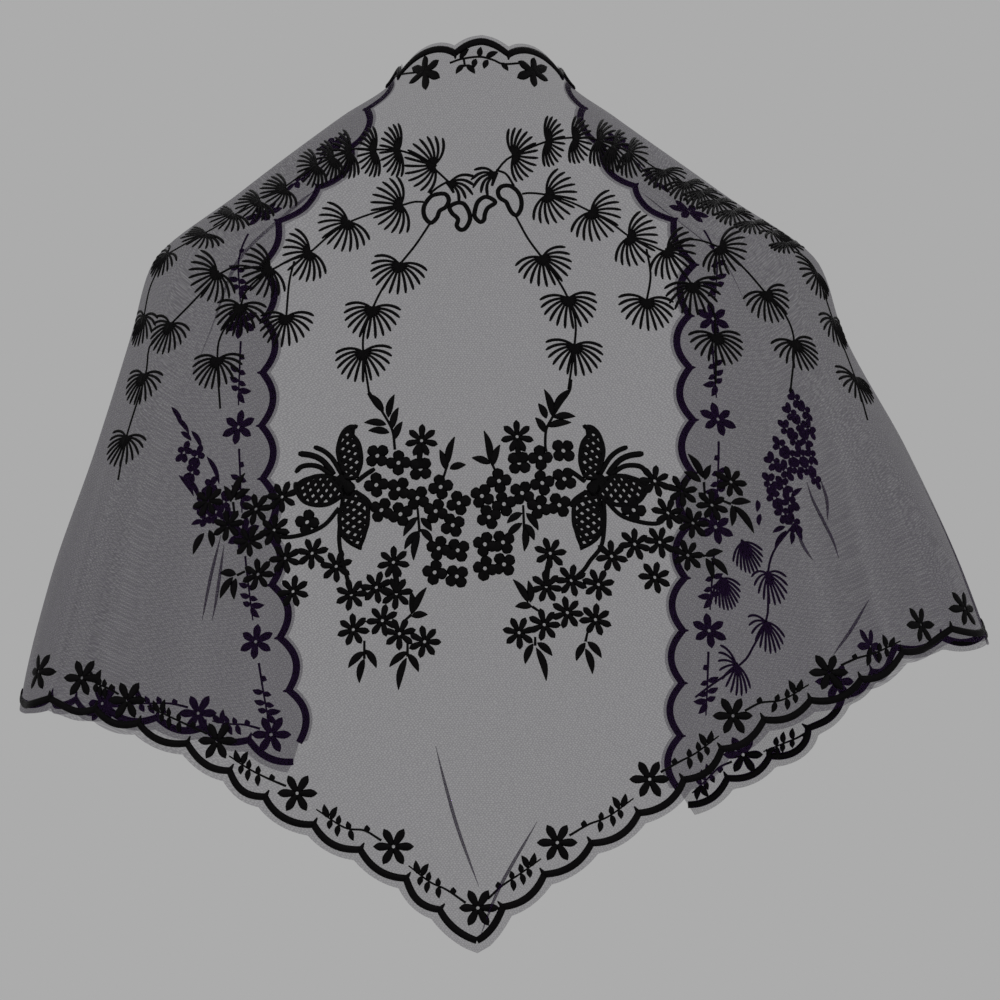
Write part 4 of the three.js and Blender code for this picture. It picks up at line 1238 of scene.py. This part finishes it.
@dataclass
class Butterfly:
    """A butterfly with three latticed wings, long feathers, and stems that trail from its body."""

    form: DrapedForm
    side: str
    centre: Place
    wings: tuple[Wing, ...] = (
        Wing(((2, 2.1, 4.2), (1, 11, 7.3), (-1.6, 19.9, 7.8), (-3, 26.5, 5.1), (-1.3, 30.7, 3),
              (1.8, 32.4, 0.3))),
        Wing(((-1.9, -3.7, 4.5), (-5.8, -4.2, 7.5), (-12.4, -5, 9.8), (-20.2, -4.7, 9.3),
              (-25.7, -3.6, 6.7), (-29.6, -2.6, 3.1), (-31, -1.2, 0.4))),
        Wing(((2, -6.8, 5), (5.3, -14.5, 8.7), (6.1, -21.2, 9.3), (7, -27.9, 8.3), (8.9, -33.4, 5.4),
              (10.3, -36.7, 2.6), (11.4, -38.7, 0.4))),
    )
    strokes: tuple[tuple[float, Points], ...] = (
        (1.5, ((-23, 20.4), (-16.9, 18.2), (-11.3, 14.3), (-6.9, 8.8), (-4.1, 4.3))),
        (1.8, ((-32.2, 16.5), (-23.5, 15.4), (-16.9, 12.7), (-11.3, 7.7), (-8, 4.3))),
        (1.5, ((-32.2, 5.4), (-29.1, 8.8), (-23.5, 9.7), (-18, 8.8), (-13, 6), (-9.1, 3.8))),
        (4.0, ((-6.3, 3.2), (-1.5, -1.2), (3.7, -5.7))),
        (1.4, ((5.3, 0), (10, 4), (15.3, 7.7))),
        (1.5, ((5.3, -5.7), (12, -10.1), (15.3, -14.5))),
    )
    stroke_stations: int = 15
    stem_half: float = 1.3
    stems: tuple[Points, ...] = ()

    def build(self, finish: bpy.types.Material) -> bpy.types.Object:
        """Makes the butterfly; the right one is the left one's mirror image, but for its stems."""
        book = StitchBook(self.form)
        mirror = self.side == "right"
        for wing in self.wings:
            for shape in wing.build():
                book.motif(shape.turned(0, mirror=mirror), (self.centre,))
        share = np.linspace(0, 1, self.stroke_stations)
        taper = np.interp(share, (0, 0.06, 0.85, 1), (0.6, 1, 1, 0.7))
        for half, points in self.strokes:
            line = smooth_line(points, self.stroke_stations)[None]
            shape = Motif(line, half * taper[None])
            book.motif(shape.turned(0, mirror=mirror), (self.centre,))
        for points in self.stems:
            book.line(points, self.stem_half)
        return book.piece(f"butterfly_lace_{self.side}", finish, "embroidery", (f"butterfly_{self.side}",))


def left_butterfly(form: DrapedForm) -> Butterfly:
    """The butterfly to the left of the middle."""
    stems = (((340, 508), (325, 525), (305, 534), (285, 537), (272, 532)),
             ((341, 520), (340, 540), (343, 560), (348, 578), (352, 594)))
    return Butterfly(form, "left", (348, 482), stems=stems)


def right_butterfly(form: DrapedForm) -> Butterfly:
    """The butterfly to the right of the middle."""
    stems = (((603, 500), (604, 520), (601, 545), (590, 560), (583, 570), (572, 580)),
             ((605, 500), (620, 515), (640, 522), (658, 523), (667, 514)))
    return Butterfly(form, "right", (594, 482), stems=stems)


@dataclass
class FrontSprays:
    """The fans, flowers and leaves on the two front ends, as far as they show through the back."""

    form: DrapedForm
    fans: tuple[tuple[float, float, float, float], ...] = (
        (767, 575, 270, 105), (767, 624, 250, 100), (742, 667, 224, 105), (745, 543, 282, 78),
        (727, 580, 285, 78),
    )
    fan_size: tuple[float, float] = (0.62, 1.08)
    fan_strokes: int = 11
    fan_thickness: float = 0.85
    stem: Points = ((790, 520), (772, 550), (767, 575), (768, 600), (767, 622), (756, 650), (745, 667),
                    (703, 700))
    flowers: Points = (
        (797, 398), (808, 410), (790, 412), (800, 424), (812, 428), (784, 428), (793, 440), (806, 440),
        (777, 446), (786, 456), (798, 455), (811, 455), (770, 462), (781, 470), (805, 468), (814, 478),
        (792, 468), (768, 482), (779, 486), (771, 498), (784, 503), (778, 514), (787, 524),
        (184, 452), (195, 456), (191, 472), (207, 487), (199, 504), (213, 512),
        (205, 496), (221, 502), (204, 516), (224, 518),
    )
    leaves: Ends = (
        (781, 531, 772, 551), (785, 531, 785, 545), (788, 529, 794, 541), (784, 502, 793, 509),
        (785, 497, 796, 488), (780, 527, 770, 533), (757, 500, 757, 512), (760, 514, 759, 526),
        (172, 406, 182, 425), (177, 417, 188, 433), (181, 431, 190, 440), (190, 430, 199, 448),
        (204, 456, 216, 484), (180, 475, 192, 496), (187, 478, 197, 500), (200, 521, 190, 525),
    )
    flower: Motif = petals(5, 7.4, 2.0, fullness=0.6)
    flower_turn: float = 72
    foreshortening: float = 0.66
    stem_half: float = 0.7
    leaf_half: float = 1.6

    def build(self, finish: bpy.types.Material) -> bpy.types.Object:
        """Makes the front's motifs, which face forwards."""
        book = StitchBook(self.form)
        for column, row, axis, spread in self.fans:
            for shape in fan_shapes(axis, spread, self.fan_strokes):
                narrow = shape.scaled(*self.fan_size, self.fan_thickness)
                book.motif(narrow, ((column, row),), Layer.FRONT)
        book.line(self.stem, self.stem_half, Layer.FRONT)
        for k, place in enumerate(self.flowers):
            narrow = self.flower.turned(GOLDEN_ANGLE * k % self.flower_turn).scaled(self.foreshortening, 1)
            book.motif(narrow, (place,), Layer.FRONT)
        book.leaves(self.leaves, self.leaf_half, layer=Layer.FRONT)
        return book.piece("front_sprays", finish, "embroidery")


@dataclass
class PinchedNet:
    """The narrow pinches where the net is drawn together between two folds."""

    form: DrapedForm
    pinches: tuple[Points, ...] = (
        ((222, 535), (212, 575), (203, 620)),
        ((225, 545), (217, 600), (213, 620)),
        ((806, 482), (812, 500), (822, 520), (832, 540), (838, 558)),
        ((820, 480), (826, 500), (827, 520)),
        ((795, 525), (802, 545), (812, 560)),
        ((868, 600), (850, 630), (832, 655)),
        ((537, 820), (500, 885), (480, 935)),
        ((436, 745), (446, 785), (459, 830), (479, 885)),
    )
    half: float = 1.0
    height: float = 1.2
    stations: int = 30
    fullness: float = 0.7
    thinnest: float = 0.15

    def build(self, finish: bpy.types.Material) -> bpy.types.Object:
        """Makes the pinches, which are thin at both ends."""
        book = StitchBook(self.form, height=self.height)
        share = np.linspace(0, 1, self.stations)
        taper = self.half * np.clip(np.sin(np.pi * share) ** self.fullness, self.thinnest, 1)
        for points in self.pinches:
            places = PHOTO.place(smooth_line(points, self.stations))
            book.strokes(self.form.spots(places)[None], taper[None])
        return book.piece("net_pinches", finish, "net")


@dataclass
class NodeSheet:
    """A node tree that is filled one node at a time."""

    tree: bpy.types.NodeTree

    def add(self, kind: str, inputs: dict | None = None, **settings: object) -> bpy.types.Node:
        """Adds a node, sets its properties, and links or sets its inputs by name or number."""
        node = self.tree.nodes.new(kind)
        for key, value in settings.items():
            setattr(node, key, value)
        for key, value in (inputs or {}).items():
            if isinstance(value, bpy.types.NodeSocket):
                self.tree.links.new(value, node.inputs[key])
            else:
                node.inputs[key].default_value = value
        return node

    def value(self, operation: str, *inputs: object) -> bpy.types.NodeSocket:
        """Adds a Math node and gives its result."""
        return self.add("ShaderNodeMath", dict(enumerate(inputs)), operation=operation).outputs[0]


def new_material(name: str) -> tuple[bpy.types.Material, NodeSheet, bpy.types.Node]:
    """A material with a NodeSheet on its tree, and its Principled BSDF."""
    material = bpy.data.materials.new(name)
    material.use_nodes = True
    return material, NodeSheet(material.node_tree), material.node_tree.nodes["Principled BSDF"]


def group(name: str, inputs: dict[str, tuple[str, object]], outputs: tuple[str, ...],
          ) -> tuple[bpy.types.NodeTree, NodeSheet, bpy.types.Node, bpy.types.Node]:
    """A shader node group with named sockets.

    Args:
        name: the group's name.
        inputs: socket kind and default value by socket name.
        outputs: the names of its value outputs.

    Returns:
        The tree, a NodeSheet on it, its input node and its output node.
    """
    tree = bpy.data.node_groups.new(name, "ShaderNodeTree")
    for key, (kind, default) in inputs.items():
        socket = tree.interface.new_socket(key, in_out="INPUT", socket_type=kind)
        if default is not None:
            socket.default_value = default
    for key in outputs:
        tree.interface.new_socket(key, in_out="OUTPUT", socket_type="NodeSocketFloat")
    sheet = NodeSheet(tree)
    return tree, sheet, sheet.add("NodeGroupInput"), sheet.add("NodeGroupOutput")


def net_weave() -> bpy.types.NodeTree:
    """Three sets of threads at 60 degrees: the sum of three cosines of the place in the cloth, which
    noise shakes a little, is high at the middle of each hole and low on the threads."""
    inputs = {"Cloth": ("NodeSocketVector", None), "Pitch": ("NodeSocketFloat", 1.0)}
    tree, sheet, given, result = group("net_weave", inputs, ("Thread", "Relief"))
    cloth = given.outputs["Cloth"]
    shake, shake_scale = (2.2, 2.2, 0), 0.5
    hole_sum, thread_sum, relief = 1.1, -0.6, -0.5
    cloudy = sheet.add("ShaderNodeTexNoise", {"Vector": cloth, "Scale": shake_scale, "Detail": 2.0})
    shaken = sheet.add("ShaderNodeVectorMath", {0: cloudy.outputs["Color"], 1: shake, 2: cloth},
                       operation="MULTIPLY_ADD")
    full_turn = 2 * math.pi / math.cos(math.pi / 6)
    total = None
    for turn in (30, 90, 150):
        way = (math.cos(math.radians(turn)), math.sin(math.radians(turn)), 0)
        dot = sheet.add("ShaderNodeVectorMath", {0: shaken.outputs[0], 1: way}, operation="DOT_PRODUCT")
        turns = sheet.value("DIVIDE", dot.outputs["Value"], given.outputs["Pitch"])
        wave = sheet.value("COSINE", sheet.value("MULTIPLY", turns, full_turn))
        total = wave if total is None else sheet.value("ADD", total, wave)
    thread = sheet.add("ShaderNodeMapRange",
                       {"Value": total, "From Min": hole_sum, "From Max": thread_sum})
    tree.links.new(thread.outputs["Result"], result.inputs["Thread"])
    tree.links.new(sheet.value("MULTIPLY", total, relief), result.inputs["Relief"])
    return tree


def satin_stitch() -> bpy.types.NodeTree:
    """Fine threads side by side across a stroke: a wave of the length along it, a little slanted and
    shaken by noise. The tone is half the stroke's own and half the noise."""
    inputs = {"Thread": ("NodeSocketVector", None), "Pitch": ("NodeSocketFloat", 0.45)}
    tree, sheet, given, result = group("satin_stitch", inputs, ("Tone", "Relief"))
    slope, shake, noise_scale, tone_share = 0.22, 0.35, 1.7, 0.5
    parts = sheet.add("ShaderNodeSeparateXYZ", {0: given.outputs["Thread"]})
    along, across, tone = parts.outputs
    slant = sheet.value("ADD", along, sheet.value("MULTIPLY", across, slope))
    noise = sheet.add("ShaderNodeTexNoise",
                      {"Vector": given.outputs["Thread"], "Scale": noise_scale, "Detail": 2.0})
    shaken = sheet.value("ADD", slant, sheet.value("MULTIPLY", noise.outputs[0], shake))
    turns = sheet.value("DIVIDE", shaken, given.outputs["Pitch"])
    wave = sheet.value("SINE", sheet.value("MULTIPLY", turns, 2 * math.pi))
    own_tone = sheet.value("MULTIPLY", tone, tone_share)
    noise_tone = sheet.value("MULTIPLY", noise.outputs[0], 1 - tone_share)
    shade = sheet.value("ADD", own_tone, noise_tone)
    tree.links.new(shade, result.inputs["Tone"])
    tree.links.new(wave, result.inputs["Relief"])
    return tree


@dataclass(frozen=True)
class NetFinish:
    """Sheer dark net with a violet cast."""

    name: str = "sheer_net"
    attribute: str = "cloth"
    thread: Colour = (0.022, 0.0075, 0.041, 1)
    shade: Colour = (0.011, 0.0035, 0.022, 1)
    pitch: float = 1.35
    hole_cover: float = 0.34
    thread_cover: float = 0.5
    # Painted shading: extra cover on the steep flanks of folds.
    flank_shading_cover: float = 0.12
    roughness: float = 0.7
    relief: float = 0.3
    relief_depth: float = 0.0002
    cloud_scale: float = 0.02

    def build(self, weave: bpy.types.NodeTree) -> bpy.types.Material:
        """The material: threads cover more than holes, and a fold's steep flank gets painted shading as
        extra cover, for the darker look of net seen at a slant.
        """
        material, sheet, shader = new_material(self.name)
        cloth = sheet.add("ShaderNodeAttribute", attribute_name=self.attribute).outputs["Vector"]
        woven = sheet.add("ShaderNodeGroup", node_tree=weave)
        woven.inputs["Pitch"].default_value = self.pitch
        sheet.tree.links.new(cloth, woven.inputs["Cloth"])
        # Painted shading: the steepness of fold flanks, the cloth attribute's third value, darkens the net
        # there.
        flank_shading = sheet.add("ShaderNodeSeparateXYZ", {0: cloth}).outputs[2]
        cover = sheet.add("ShaderNodeMapRange", {"Value": woven.outputs["Thread"],
                                                 "To Min": self.hole_cover, "To Max": self.thread_cover})
        # This painted shading on the fold flanks is added to the weave's cover.
        gathered = sheet.value("MULTIPLY", flank_shading, self.flank_shading_cover)
        alpha = sheet.value("ADD", cover.outputs["Result"], gathered)
        cloudy = sheet.add("ShaderNodeTexNoise", {"Vector": cloth, "Scale": self.cloud_scale})
        colour = self._mix(sheet, cloudy.outputs[0])
        bump = sheet.add("ShaderNodeBump", {"Height": woven.outputs["Relief"], "Strength": self.relief,
                                            "Distance": self.relief_depth})
        sheet.tree.links.new(colour, shader.inputs["Base Color"])
        sheet.tree.links.new(alpha, shader.inputs["Alpha"])
        sheet.tree.links.new(bump.outputs["Normal"], shader.inputs["Normal"])
        shader.inputs["Roughness"].default_value = self.roughness
        shader.inputs["Specular IOR Level"].default_value = SHINE
        return material

    def _mix(self, sheet: NodeSheet, factor: bpy.types.NodeSocket) -> bpy.types.NodeSocket:
        """The two tones of the thread, mixed by a factor that changes slowly over the cloth."""
        node = sheet.add("ShaderNodeMix", data_type="RGBA")
        colours = [socket for socket in node.inputs if socket.type == "RGBA"]
        colours[0].default_value = self.shade
        colours[1].default_value = self.thread
        sheet.tree.links.new(factor, node.inputs["Factor"])
        return next(socket for socket in node.outputs if socket.type == "RGBA")


@dataclass(frozen=True)
class SatinFinish:
    """Black rayon satin stitch, with a painted sheen that differs from stroke to stroke."""

    name: str
    dark: Colour = (0.0012, 0.001, 0.0012, 1)
    # Painted sheen: the lighter colour that a stroke takes by its random tone.
    light: Colour = (0.0045, 0.0038, 0.0045, 1)
    pitch: float = 0.45
    roughness: float = 0.5
    relief: float = 0.35
    relief_depth: float = 0.00012
    smoother: float = 0.06
    rougher: float = 0.1

    def build(self, stitch: bpy.types.NodeTree) -> bpy.types.Material:
        """The material: each stroke has its own tone, from the dark thread colour up to a lighter painted
        sheen, and its threads lie across it.
        """
        material, sheet, shader = new_material(self.name)
        thread = sheet.add("ShaderNodeAttribute", attribute_name="thread")
        laid = sheet.add("ShaderNodeGroup", node_tree=stitch)
        laid.inputs["Pitch"].default_value = self.pitch
        sheet.tree.links.new(thread.outputs["Vector"], laid.inputs["Thread"])
        # Painted sheen: the ramp runs from the dark thread colour to the lighter one by each stroke's tone.
        ramp = sheet.add("ShaderNodeValToRGB", {0: laid.outputs["Tone"]})
        ramp.color_ramp.elements[0].color = self.dark
        ramp.color_ramp.elements[1].color = self.light
        bump = sheet.add("ShaderNodeBump", {"Height": laid.outputs["Relief"], "Strength": self.relief,
                                            "Distance": self.relief_depth})
        rough = sheet.add("ShaderNodeMapRange", {"Value": laid.outputs["Tone"],
                                                 "To Min": self.roughness - self.smoother,
                                                 "To Max": self.roughness + self.rougher})
        sheet.tree.links.new(ramp.outputs["Color"], shader.inputs["Base Color"])
        sheet.tree.links.new(rough.outputs["Result"], shader.inputs["Roughness"])
        sheet.tree.links.new(bump.outputs["Normal"], shader.inputs["Normal"])
        shader.inputs["Specular IOR Level"].default_value = SHINE
        return material


@dataclass
class Studio:
    """The camera, the soft lights, the grey surround and the pale floor."""

    frame_width: float = 0.58
    distance: float = 10.0
    far_clip: float = 100
    sensor: float = 36
    plane: float = -0.055
    grey: float = 0.4125
    floor_level: float = -0.9
    floor_radius: float = 1.8
    floor_fade: float = 0.45
    floor_colour: Colour = (0.55, 0.55, 0.55, 1)
    floor_roughness: float = 0.8
    lights: tuple[tuple[str, tuple[float, float, float], float, float], ...] = (
        # name, place, power in watts, width
        ("key", (-2.2, -3.0, 1.6), 34, 2.2),
        ("fill", (2.4, -2.8, 0.8), 26, 2.2),
        ("front", (0.3, 3.2, 1.4), 26, 2.4),
    )
    aim: tuple[float, float, float] = (0, 0, -0.25)

    def build(self) -> None:
        """Sets up everything that is not the scarf."""
        self._camera()
        self._surround()
        self._floor()
        for light in self.lights:
            self._light(*light)
        bpy.context.scene.view_settings.view_transform = "Standard"

    def _camera(self) -> None:
        """A long lens that looks straight along +Y at the middle of the photograph."""
        across, level = PHOTO.centre() * MILLIMETRE
        data = bpy.data.cameras.new("camera")
        data.sensor_width = self.sensor
        data.lens = self.sensor * self.distance / self.frame_width
        data.clip_end = self.far_clip
        camera = bpy.data.objects.new("camera", data)
        camera.location = (across, self.plane - self.distance, level)
        camera.rotation_euler = (math.pi / 2, 0, 0)
        bpy.context.scene.collection.objects.link(camera)
        bpy.context.scene.camera = camera

    def _surround(self) -> None:
        """The plain grey all round, as in the photograph."""
        world = bpy.data.worlds.new("grey_surround")
        world.use_nodes = True
        world.node_tree.nodes["Background"].inputs["Color"].default_value = (self.grey,) * 3 + (1,)
        bpy.context.scene.world = world

    def _floor(self) -> None:
        """A round pale floor that fades out towards its rim."""
        spokes, rings, hub = 73, 9, 0.0003
        turns, shares = np.linspace(0, 2 * np.pi, spokes), np.linspace(hub, 1, rings)
        turn, share = np.meshgrid(turns, shares, indexing="ij")
        radius = share * self.floor_radius / MILLIMETRE
        level = np.full(turn.shape, self.floor_level / MILLIMETRE)
        points = np.stack([radius * np.cos(turn), radius * np.sin(turn), level], axis=-1)
        fade = np.stack([share, share, share], axis=-1).reshape(-1, 3)
        faces = grid_faces(*turn.shape)[:, ::-1]
        floor = make_piece("floor", points.reshape(-1, 3), faces, {"fade": fade})
        material, sheet, shader = new_material("pale_floor")
        rim = sheet.add("ShaderNodeAttribute", attribute_name="fade")
        alpha = sheet.add("ShaderNodeMapRange", {"Value": rim.outputs["Fac"], "From Min": self.floor_fade,
                                                 "From Max": 1.0, "To Min": 1.0, "To Max": 0.0},
                          interpolation_type="SMOOTHSTEP")
        sheet.tree.links.new(alpha.outputs["Result"], shader.inputs["Alpha"])
        shader.inputs["Base Color"].default_value = self.floor_colour
        shader.inputs["Roughness"].default_value = self.floor_roughness
        floor.data.materials.append(material)

    def _light(self, name: str, place: tuple[float, float, float], power: float, size: float) -> None:
        """A large soft light that faces the scarf."""
        data = bpy.data.lights.new(name, "AREA")
        data.energy = power
        data.size = size
        lamp = bpy.data.objects.new(name, data)
        lamp.location = place
        away = np.array(place) - np.array(self.aim)
        tilt = math.acos(away[2] / np.linalg.norm(away))
        lamp.rotation_euler = (tilt, 0, math.atan2(away[0], -away[1]))
        bpy.context.scene.collection.objects.link(lamp)


def main() -> None:
    logging.basicConfig(level=logging.INFO, format="%(message)s")
    Studio().build()
    form = DrapedForm()
    neck, hem = neck_edge(form), hem_edge(form)
    weave = net_weave()
    net_finish = NetFinish().build(weave)
    stitch = satin_stitch()
    cord_finish = SatinFinish("satin_cord", pitch=0.5).build(stitch)
    thread_finish = SatinFinish("satin_stitch").build(stitch)

    net = NetCloth(form, neck, hem).build(net_finish)
    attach(net, "root")
    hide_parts("net_ground")
    trims = [EdgeCord(neck, spike=3.4, height=1.5).build("neck_satin_cord", "neck_edge_cord", cord_finish),
             EdgeCord(hem).build("hem_satin_cord", "hem_cord", cord_finish)]
    trims += HemBorder(form).build(thread_finish)
    trims += NapeBorder(form, neck).build(thread_finish)
    for garlands in (left_garlands(form), right_garlands(form)):
        trims.append(garlands.build(thread_finish))
    trims.append(BeanLoops(form).build(thread_finish))
    for spray in (left_spray(form), right_spray(form)):
        trims += spray.build(thread_finish)
    for butterfly in (left_butterfly(form), right_butterfly(form)):
        trims.append(butterfly.build(thread_finish))
    trims.append(FrontSprays(form).build(thread_finish))
    gathered = NetFinish("gathered_net", "thread", hole_cover=0.42, thread_cover=0.62, flank_shading_cover=0)
    trims.append(PinchedNet(form).build(gathered.build(weave)))


if __name__ == "__main__":
    main()
